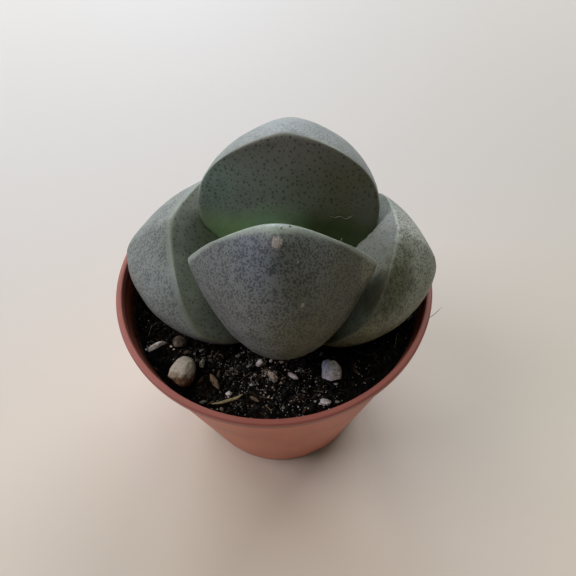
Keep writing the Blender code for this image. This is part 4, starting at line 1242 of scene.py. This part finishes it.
pit_o, pit_d = sight(175.6, 368.4)
pit_t = (46.6 - pit_o.z) / pit_d.z
pit_at = pit_o + pit_d * pit_t
loose = [
    lump_piece("pebble", "pebble_tan", pebble_mat, "pebble_tan", (-14.8, -17.5, 45.1),
               (2.15, 2.8, 1.9), (8, -6, -20), 3, 5, 0.10, 1, [(tuple(pit_at), 0.30, 0.28)]),
    lump_piece("perlite_lump", "perlite_large", white_mat, "perlite", (9.0, -17.75, 45.0),
               (1.62, 1.92, 1.55), (10, 12, 15), 7, 5, 0.14, 11),
    lump_piece("perlite_stick", "perlite_long", white_mat, "perlite", (-19.9, -12.3, 44.6),
               (1.7, 0.62, 0.56), (0, 0, 30), 11, 4, 0.42, 7),
    lump_piece("clod", "clod_left", clod_mat, "clod", (-16.1, -11.7, 44.5),
               (1.3, 1.1, 0.9), (0, 10, -30), 5, 4, 0.2, 4),
    lump_piece("beige_crumb", "crumb_beige", beige_mat, "crumb_beige", (-0.45, -18.1, 44.3),
               (1.2, 0.58, 0.48), (0, 0, -44), 13, 4, 0.45, 6),
    lump_piece("perlite_grain_1", "perlite_small_1", white_mat, "perlite", (-2.45, -15.7, 44.3),
               (0.75, 0.65, 0.6), (0, 0, 40), 17, 4, 0.38, 7),
    lump_piece("perlite_grain_2", "perlite_small_2", grey_mat, "perlite", (-12.0, -15.6, 44.3),
               (0.5, 0.8, 0.5), (0, 0, -8), 19, 4, 0.36, 6),
    lump_piece("perlite_grain_3", "perlite_small_3", white_mat, "perlite", (-7.3, -21.0, 44.4),
               (0.6, 0.5, 0.46), (0, 0, 20), 23, 4, 0.42, 8),
    lump_piece("perlite_grain_4", "perlite_small_4", white_mat, "perlite", (2.9, -18.2, 44.3),
               (0.92, 0.42, 0.42), (0, 0, -38), 29, 4, 0.42, 7),
    lump_piece("perlite_grain_5", "perlite_small_5", white_mat, "perlite", (7.9, -22.6, 44.2),
               (0.9, 0.5, 0.46), (0, 0, -6), 31, 4, 0.50, 9),
    chip_piece("bark_piece_1", "bark_chip_1", bark_mat, "bark", (-10.4, -17.6, 44.45), (-8.9, -20.1, 44.35), 0.95, 0.55, 10, 1),
    chip_piece("bark_piece_2", "bark_chip_2", bark_mat, "bark", (-3.9, -21.5, 44.3), (-2.5, -22.3, 44.25), 0.55, 0.4, -15, 2),
]
straw_pile = Pile()
strand(straw_pile, [(-9.9, -22.6, 44.5), (-8.3, -22.45, 44.6), (-6.95, -22.1, 44.7),
                    (-5.9, -21.8, 44.75), (-5.0, -21.2, 44.8)], 0.26, 8, 0.6, 0.3)
straw = straw_pile.build("straw_stalk", straw_mat, "straw")
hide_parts("straw")

ground = Ground(tree_of(list(leaves.values()) + loose + [straw]))
soil = make_soil(soil_material(), ground)
make_pot(pot_material())


# ------------------------------------------------------------------ crown and root
def make_crown(mat):
    """Green growing point under the leaf bases, on a brown tapering root."""
    leaf_tree = tree_of(list(leaves.values()))
    cx, cy = CROWN_XY
    steps = 72
    prof = [(k * CROWN_R, CROWN_TOP + (CROWN_DOME - CROWN_TOP) * (1 - k ** 3))
            for k in np.linspace(0.04, 0.96, 16)]
    prof += [(CROWN_R * 0.985, 41.2), (CROWN_R * 0.97, 40.2), (CROWN_R, 38.5), (CROWN_R, 36.4)]
    root = [(4.6, 36.0), (3.6, 33.0), (2.3, 28.0), (1.4, 21.0), (0.7, 14.0)]
    for (r0, z0), (r1, z1) in zip(root[:-1], root[1:]):
        for k in range(6):
            f = k / 6
            prof.append((r0 + (r1 - r0) * f - 0.05, z0 + (z1 - z0) * f))
    prof += [(0.62, 14.1), (0.3, 13.75)]
    verts, faces = [], []
    for r, z in prof:
        for k in range(steps):
            a = 2 * math.pi * k / steps
            wob = 1.0
            if z < 40.5:
                wob -= 0.07 * abs(noise.noise(Vector((math.cos(a) * 2.5, math.sin(a) * 2.5, z * 0.35)))) + 0.02
            x, y = cx + r * wob * math.cos(a), cy + r * wob * math.sin(a)
            zz = z
            if z > CROWN_TOP - 0.5:
                h = leaf_tree.ray_cast(Vector((x, y, 30.0)), Vector((0, 0, 1)), 60.0)
                if h[0] is not None:
                    zz = min(z, h[0].z - 0.12)
            verts.append((x * MM, y * MM, zz * MM))
    top, foot = len(verts), len(verts) + 1
    zt = CROWN_DOME
    h = leaf_tree.ray_cast(Vector((cx, cy, 30.0)), Vector((0, 0, 1)), 60.0)
    if h[0] is not None:
        zt = min(zt, h[0].z - 0.12)
    verts += [(cx * MM, cy * MM, zt * MM), (cx * MM, cy * MM, 13.7 * MM)]
    for i in range(len(prof) - 1):
        for k in range(steps):
            k1 = (k + 1) % steps
            faces.append((i * steps + k, (i + 1) * steps + k, (i + 1) * steps + k1, i * steps + k1))
    last = (len(prof) - 1) * steps
    for k in range(steps):
        k1 = (k + 1) % steps
        faces.append((top, k, k1))
        faces.append((foot, last + k1, last + k))
    ob = mesh_object("crown_and_root", verts, faces, mat)
    return settle(ob, "stem_and_root", "stem_and_root")


def crown_material():
    n = Net("crown_tissue")
    c = n.coords()
    sx = n.new("ShaderNodeSeparateXYZ")
    n._set(sx.inputs[0], c)
    a = n.noise(c, 0.8, 3.0, 0.6)
    b = n.noise(n.vscale(c, (1, 1, 0.3)), 3.0, 3.0, 0.65)
    z = n.math("ADD", sx.outputs[2], n.math("MULTIPLY", n.math("SUBTRACT", a, 0.5), 3.0))
    bark = n.mix(n.step(b, 0.38, 0.66), lin(66, 48, 36), lin(118, 94, 70))
    live = n.mix(n.step(a, 0.35, 0.7), lin(84, 108, 60), lin(112, 130, 84))
    col = n.mix(n.step(z, 38.5, 40.6), bark, live)
    return n.finish(col, n.math("MULTIPLY_ADD", b, 0.2, 0.5), n.bump(b, 0.6, 0.15), Specular_IOR_Level=0.4)


make_crown(crown_material())

# ------------------------------------------------------------------ grit, crumbs and fibres
rng = np.random.default_rng(2779)


def free(x, y, need=0.5):
    """True where the soil is open to the air."""
    if math.hypot(x, y) > 25.1:
        return False
    return ground.roof(x, y) - ground.height(x, y) > need + 1.0 and all(
        math.hypot(x - px, y - py) > pr for px, py, pr in
        ((-14.8, -17.5, 2.9), (9.0, -17.75, 1.9), (-19.9, -12.3, 1.3), (-16.1, -11.7, 1.2)))


def anywhere(r_max=25.0):
    while True:
        x, y = rng.uniform(-25, 25, 2)
        if math.hypot(x, y) < r_max and free(x, y):
            return x, y


dark, brown, grey, pale = Pile(), Pile(), Pile(), Pile()
for i in range(1500):
    x, y = anywhere()
    s = 0.16 + 0.5 * rng.random() ** 2.2
    r = (s, s * rng.uniform(0.6, 0.95), s * rng.uniform(0.45, 0.8))
    crumb(dark, (x, y, ground.height(x, y) + r[2] * rng.uniform(0.0, 0.5)), r, i + 0.5,
          2 if s > 0.38 else 1, 0.3, 3)
for i in range(170):
    x, y = anywhere()
    s = rng.uniform(0.18, 0.48)
    r = (s * rng.uniform(1.1, 2.2), s * 0.6, s * 0.45)
    crumb(brown, (x, y, ground.height(x, y) + r[2] * 0.5), r, i + 3000.5, 2 if s > 0.3 else 1, 0.25, 4,
          (rng.uniform(-0.3, 0.3), rng.uniform(-0.3, 0.3), rng.uniform(0, 6.28)))
for i in range(760):
    x, y = anywhere()
    while rng.random() > (0.25 + 0.75 * math.exp(-((x + 1.5) ** 2 + (y + 18.5) ** 2) / 60.0)):
        x, y = anywhere()
    s = rng.uniform(0.05, 0.13) + 0.10 * rng.random() ** 4
    crumb(grey if i % 2 else pale, (x, y, ground.height(x, y) + s * 0.5), (s, s * 0.8, s * 0.7),
          i + 5000.5, 1, 0.25, 2)

# larger bits at their places: (u, v of the photograph), long and short half-axes (mm), turn (deg), kind
BITS = [
    (171.0, 346.7, 0.26, 0.20, 0, "pale"), (194.7, 353.6, 0.30, 0.16, 60, "pale"),
    (197.4, 350.6, 0.50, 0.14, 48, "grey"), (201.8, 351.0, 0.50, 0.32, 10, "grey"),
    (209.5, 356.6, 0.26, 0.20, 0, "grey"), (192.7, 363.3, 0.55, 0.42, 0, "clod"),
    (197.2, 360.0, 0.42, 0.30, 30, "clod"), (187.5, 352.5, 0.6, 0.42, 0, "clod"),
    (238.2, 355.8, 0.40, 0.32, 0, "grey"), (235.6, 361.4, 0.36, 0.24, 40, "grey"),
    (240.2, 361.9, 0.26, 0.20, 0, "grey"), (218.3, 362.0, 0.45, 0.18, 70, "grey"),
    (218.5, 374.2, 0.52, 0.36, 80, "clod"), (271.3, 361.0, 0.40, 0.30, 60, "pale"),
    (281.0, 362.0, 0.46, 0.28, 10, "beige"), (251.0, 385.0, 0.36, 0.24, 20, "pale"),
    (273.4, 387.4, 0.36, 0.28, 0, "beige"), (270.0, 382.3, 0.20, 0.15, 0, "beige"),
    (282.5, 378.8, 0.40, 0.30, 0, "beige"), (281.5, 382.9, 0.30, 0.24, 0, "beige"),
    (221.8, 408.9, 0.46, 0.34, 30, "beige"), (283.6, 407.9, 0.34, 0.24, 60, "grey"),
    (276.4, 403.8, 0.18, 0.14, 0, "pale"), (244.8, 368.6, 0.60, 0.22, 30, "grey"),
    (248.5, 366.0, 0.60, 0.22, 35, "grey"), (262.8, 363.5, 0.50, 0.34, 0, "beige"),
    (258.0, 365.0, 0.40, 0.24, 0, "grey"), (298.0, 370.6, 0.26, 0.20, 0, "grey"),
    (321.4, 354.3, 0.40, 0.34, 0, "grey"), (316.3, 381.8, 0.30, 0.22, 0, "grey"),
    (336.2, 383.9, 0.36, 0.20, 0, "pale"), (320.4, 385.9, 0.24, 0.16, 0, "grey"),
    (323.0, 402.8, 0.50, 0.36, 0, "pale"), (328.6, 403.3, 0.44, 0.32, 20, "pale"),
    (337.2, 401.7, 0.40, 0.26, 0, "grey"), (283.2, 407.3, 0.30, 0.26, 0, "grey"),
    (202.9, 402.0, 0.62, 0.24, 10, "grey"), (154.9, 368.9, 0.50, 0.30, 0, "red"),
    (243.5, 352.4, 0.20, 0.14, 0, "pale"), (174.0, 349.5, 0.22, 0.18, 0, "pale"),
    (165.0, 343.5, 0.40, 0.30, 0, "grey"), (146.5, 349.5, 0.28, 0.22, 0, "pale"),
    (289.5, 373.0, 0.36, 0.26, 20, "grey"), (296.5, 378.5, 0.34, 0.22, 0, "grey"),
    (303.0, 371.0, 0.30, 0.22, 0, "grey"), (307.0, 366.0, 0.26, 0.2, 0, "grey"),
    (212.5, 351.5, 0.2, 0.16, 0, "grey"), (228.5, 396.6, 0.24, 0.2, 0, "pale"),
    (255.0, 374.6, 0.3, 0.2, 0, "grey"), (233.5, 384.0, 0.16, 0.14, 0, "pale"),
    (406.0, 338.0, 0.2, 0.14, 0, "grey"), (374.9, 343.4, 0.18, 0.12, 0, "grey"),
    (387.5, 341.7, 0.16, 0.12, 0, "grey"), (380.6, 354.3, 0.18, 0.12, 0, "grey"),
    (356.5, 366.9, 0.18, 0.12, 0, "grey"), (352.5, 377.3, 0.18, 0.12, 0, "grey"),
]
beige, clods, red = Pile(), Pile(), Pile()
heap = {"pale": pale, "grey": grey, "beige": beige, "clod": clods, "red": red}
for i, (u, v, a, b, turn, kind) in enumerate(BITS):
    q = ground.under(u, v, b * 0.6)
    crumb(heap[kind], (q.x, q.y, ground.height(q.x, q.y) + b * 0.5), (a, b, b * 0.85), 7000.5 + i * 3,
          3 if a > 0.3 else 2, 0.28, 6, (0.0, 0.0, math.radians(turn)))

# crumbly clusters of mineral dust: centre (u, v), spread (mm), count, kind
CLUSTERS = [(231, 375, 1.7, 60, "grey"), (238, 371, 1.2, 30, "grey"), (266, 373, 1.0, 34, "beige"),
            (273, 378, 0.9, 30, "beige"), (262, 363, 0.8, 18, "grey"), (293, 376, 0.9, 22, "grey"),
            (305, 372, 1.3, 22, "grey"), (325, 403, 0.9, 30, "pale"), (247, 366, 1.0, 20, "grey"),
            (252, 385, 1.0, 14, "grey"), (206, 388, 1.3, 26, "brown"), (236, 404, 1.6, 30, "grey"),
            (268, 375, 1.6, 26, "pale"), (212, 360, 1.3, 16, "grey"), (187, 356, 1.2, 20, "grey"),
            (311, 352, 1.3, 22, "grey"), (151, 346, 1.0, 14, "pale"), (166, 350, 1.4, 16, "brown"),
            (292, 393, 2.4, 30, "grey"), (320, 384, 1.4, 14, "grey")]
heap["brown"] = brown
for ci, (u, v, spread, count, kind) in enumerate(CLUSTERS):
    c = ground.under(u, v)
    for i in range(int(count * 1.7)):
        x, y = c.x + rng.normal() * spread * 0.5, c.y + rng.normal() * spread * 0.5
        if math.hypot(x, y) > 25.2:
            continue
        s = rng.uniform(0.05, 0.17)
        crumb(heap[kind], (x, y, ground.height(x, y) + s * 0.6), (s, s * 0.8, s * 0.8),
              9000.5 + ci * 100 + i, 1, 0.25, 2)

# fibres lie on the soil
fibres, husks = Pile(), Pile()
for i in range(300):
    x, y = anywhere(24.4)
    ang, length = rng.uniform(0, 2 * math.pi), rng.uniform(0.8, 3.4)
    bend, n = rng.uniform(-0.9, 0.9), 5
    route, px, py, ok = [], x, y, True
    r = rng.uniform(0.035, 0.085)
    for k in range(n):
        if math.hypot(px, py) > 25.0 or ground.roof(px, py) - ground.height(px, py) < 1.2:
            ok = False
            break
        lift = r * 0.8 + rng.uniform(0.0, 0.25) * (1 if 0 < k < n - 1 else 0.3)
        route.append((px, py, ground.height(px, py) + lift))
        px += math.cos(ang) * length / (n - 1)
        py += math.sin(ang) * length / (n - 1)
        ang += bend / (n - 1)
    if ok and len(route) > 2:
        strand(husks if i % 4 == 0 else fibres, route, r)

# single strands at their places: points (u, v), radius (mm), lift of the middle (mm), kind
STRANDS = [
    (((249.0, 378.3), (252.8, 376.8), (256.5, 375.2)), 0.10, 0.25, "husk"),
    (((319.0, 398.4), (324.5, 397.4), (330.0, 397.9)), 0.08, 0.2, "fibre"),
    (((398.4, 330.2), (396.0, 339.0), (394.9, 349.1)), 0.07, 0.3, "husk"),
    (((412.7, 315.8), (409.0, 319.0), (407.0, 322.0)), 0.08, 0.3, "husk"),
    (((194.7, 353.6), (197.0, 350.0), (199.8, 348.0)), 0.16, 0.3, "husk"),
    (((218.3, 362.0), (219.6, 365.0), (220.3, 368.0)), 0.10, 0.25, "husk"),
    (((206.0, 405.0), (214.0, 401.5), (222.0, 401.0), (231.0, 397.5)), 0.10, 0.25, "husk"),
    (((210.5, 408.5), (216.0, 409.8), (224.0, 412.5)), 0.07, 0.15, "husk"),
    (((232.0, 404.0), (239.0, 406.0), (246.0, 404.5)), 0.06, 0.2, "fibre"),
    (((247.0, 392.0), (256.0, 396.0), (263.0, 401.0)), 0.07, 0.2, "fibre"),
    (((300.0, 396.0), (310.0, 399.0), (322.0, 396.0), (333.0, 397.5)), 0.06, 0.2, "fibre"),
    (((160.0, 372.0), (156.0, 369.5), (152.0, 368.5)), 0.12, 0.2, "fibre"),
    (((224.0, 359.5), (222.0, 356.0), (217.5, 354.0)), 0.07, 0.3, "husk"),
]
for pts, r, rise, kind in STRANDS:
    route = []
    for k, (u, v) in enumerate(pts):
        q = ground.under(u, v, r)
        mid = math.sin(math.pi * k / (len(pts) - 1))
        route.append((q.x, q.y, ground.height(q.x, q.y) + r + rise * mid * 0.6))
    strand(husks if kind == "husk" else fibres, route, r, 6)

# a dry wisp that stands out of the mix by the right-hand lip
wisp = Pile()
strand(wisp, [(24.6, -8.6, 43.4), (25.3, -9.4, 46.0), (25.7, -10.1, 48.4), (26.1, -10.4, 50.4), (26.4, -10.6, 52.2)],
       0.055, 5, 0.8, 0.3)

fibre_mat = grain_material("fibre_dark", [lin(34, 27, 22), lin(70, 58, 47)], 1.4, 0.85, 0.03)
husk_mat = grain_material("husk_pale", [lin(84, 72, 56), lin(140, 126, 102)], 1.4, 0.8, 0.03)
red_mat = grain_material("bark_red", [lin(70, 36, 28), lin(112, 60, 46)], 1.8, 0.8, 0.08)
dark.build("grit_dark", dark_mat, "soil", False)
brown.build("grit_brown", brown_mat, "bark", False)
grey.build("grit_grey", grey_mat, "perlite", False)
pale.build("grit_pale", white_mat, "perlite", False)
beige.build("grit_beige", beige_mat, "crumb_beige", False)
clods.build("grit_clods", clod_mat, "clod", False)
red.build("bark_red_bit", red_mat, "bark", False)
fibres.build("fibres_dark", fibre_mat, "soil")
husks.build("fibres_pale", husk_mat, "straw")
wisp.build("wisp_dry", husk_mat, "straw")

# a healed scratch on the rear leaf's inner face, and a hair on the front leaf's margin
scar = Pile()
route = []
for u, v in ((329.5, 216.0), (335.0, 217.6), (340.0, 216.2), (345.5, 218.8), (350.5, 217.2), (353.5, 214.8)):
    hit, nrm = spot("leaf_rear", u, v)
    route.append(hit + nrm * 0.0)
strand(scar, route, 0.075, 6, 0.5, 0.2)
hit, nrm = spot("leaf_front", 338.0, 242.2)
strand(scar, [hit - nrm * 0.05, hit + nrm * 0.35 + Vector((0.05, 0, 0.1)), hit + nrm * 0.7 + Vector((-0.05, 0.1, 0.3))],
       0.05, 5, 0.9, 0.3)
scar_mat = grain_material("scar_dry", [lin(132, 126, 106), lin(164, 158, 138)], 3.0, 0.7, 0.02)
scar.build("skin_scars", scar_mat, "leaf_rear")


# ------------------------------------------------------------------ floor and light
def floor_material():
    n = Net("floor_pale")
    c = n.coords()
    a = n.noise(n.vscale(c, (0.010, 0.06, 0.02)), 1.0, 3.0, 0.55)
    sx = n.new("ShaderNodeSeparateXYZ")
    n._set(sx.inputs[0], c)
    # painted light and shade: the floor's colour shifts from front to back and from left to right, standing in for how
    # the room's light falls across it; the stretched noise is grain
    near = n.mix(a, (0.790, 0.688, 0.572, 1), (0.826, 0.724, 0.612, 1))
    near = n.mix(n.step(sx.outputs[0], -170.0, -20.0), (0.700, 0.618, 0.534, 1), near)
    far = n.mix(n.step(sx.outputs[0], -90.0, 130.0), (0.690, 0.650, 0.622, 1), (0.618, 0.570, 0.520, 1))
    col = n.mix(n.step(sx.outputs[1], -70.0, 90.0), near, far)
    return n.finish(col, 0.62, None, Specular_IOR_Level=0.3)


side = 3.0
floor = mesh_object("floor", [(-side, -side, 0), (side, -side, 0), (side, side, 0), (-side, side, 0)],
                    [(0, 1, 2, 3)], floor_material(), False)


def area(name, place, aim, sx, sy, power, color):
    d = bpy.data.lights.new(name, "AREA")
    d.shape, d.size, d.size_y, d.energy, d.color = "RECTANGLE", sx, sy, power, color
    ob = bpy.data.objects.new(name, d)
    ob.location = place
    ob.rotation_euler = (Vector(aim) - Vector(place)).to_track_quat("-Z", "Y").to_euler()
    ob.visible_camera = False
    coll.objects.link(ob)


def around(azimuth, elevation, distance=1.0):
    a, e = math.radians(azimuth), math.radians(elevation)
    return (distance * math.cos(a) * math.cos(e), distance * math.sin(a) * math.cos(e), distance * math.sin(e))


# a broad window behind the plant, a low cool strip of it, and a soft wall on the left
AIM = (0, 0, 0.04)
area("window", around(117, 32), AIM, 0.80, 0.50, 5.2, (0.92, 1.0, 0.97))
area("window_low", around(92, 24), AIM, 0.55, 0.40, 2.6, (0.55, 0.67, 1.0))
area("window_right", around(58, 38), AIM, 0.55, 0.50, 4.2, (0.97, 1.0, 1.0))
area("wall_left", around(180, 48), AIM, 0.55, 0.55, 3.6, (1.0, 0.88, 0.80))
area("wall_left_low", around(182, 20), AIM, 0.55, 0.40, 1.5, (0.30, 0.48, 1.0))
area("ceiling", (0.0, -0.1, 1.1), AIM, 0.60, 0.60, 1.0, (0.90, 1.0, 0.85))
area("room", around(-55, 16), AIM, 0.80, 0.45, 0.3, (1.0, 0.90, 0.82))
world = bpy.data.worlds.new("room")
scene.world = world
world.use_nodes = True
bg = world.node_tree.nodes["Background"]
bg.inputs[0].default_value = (1.0, 0.88, 0.80, 1)
bg.inputs[1].default_value = 0.025
scene.view_settings.view_transform = "Standard"
scene.view_settings.look = "None"
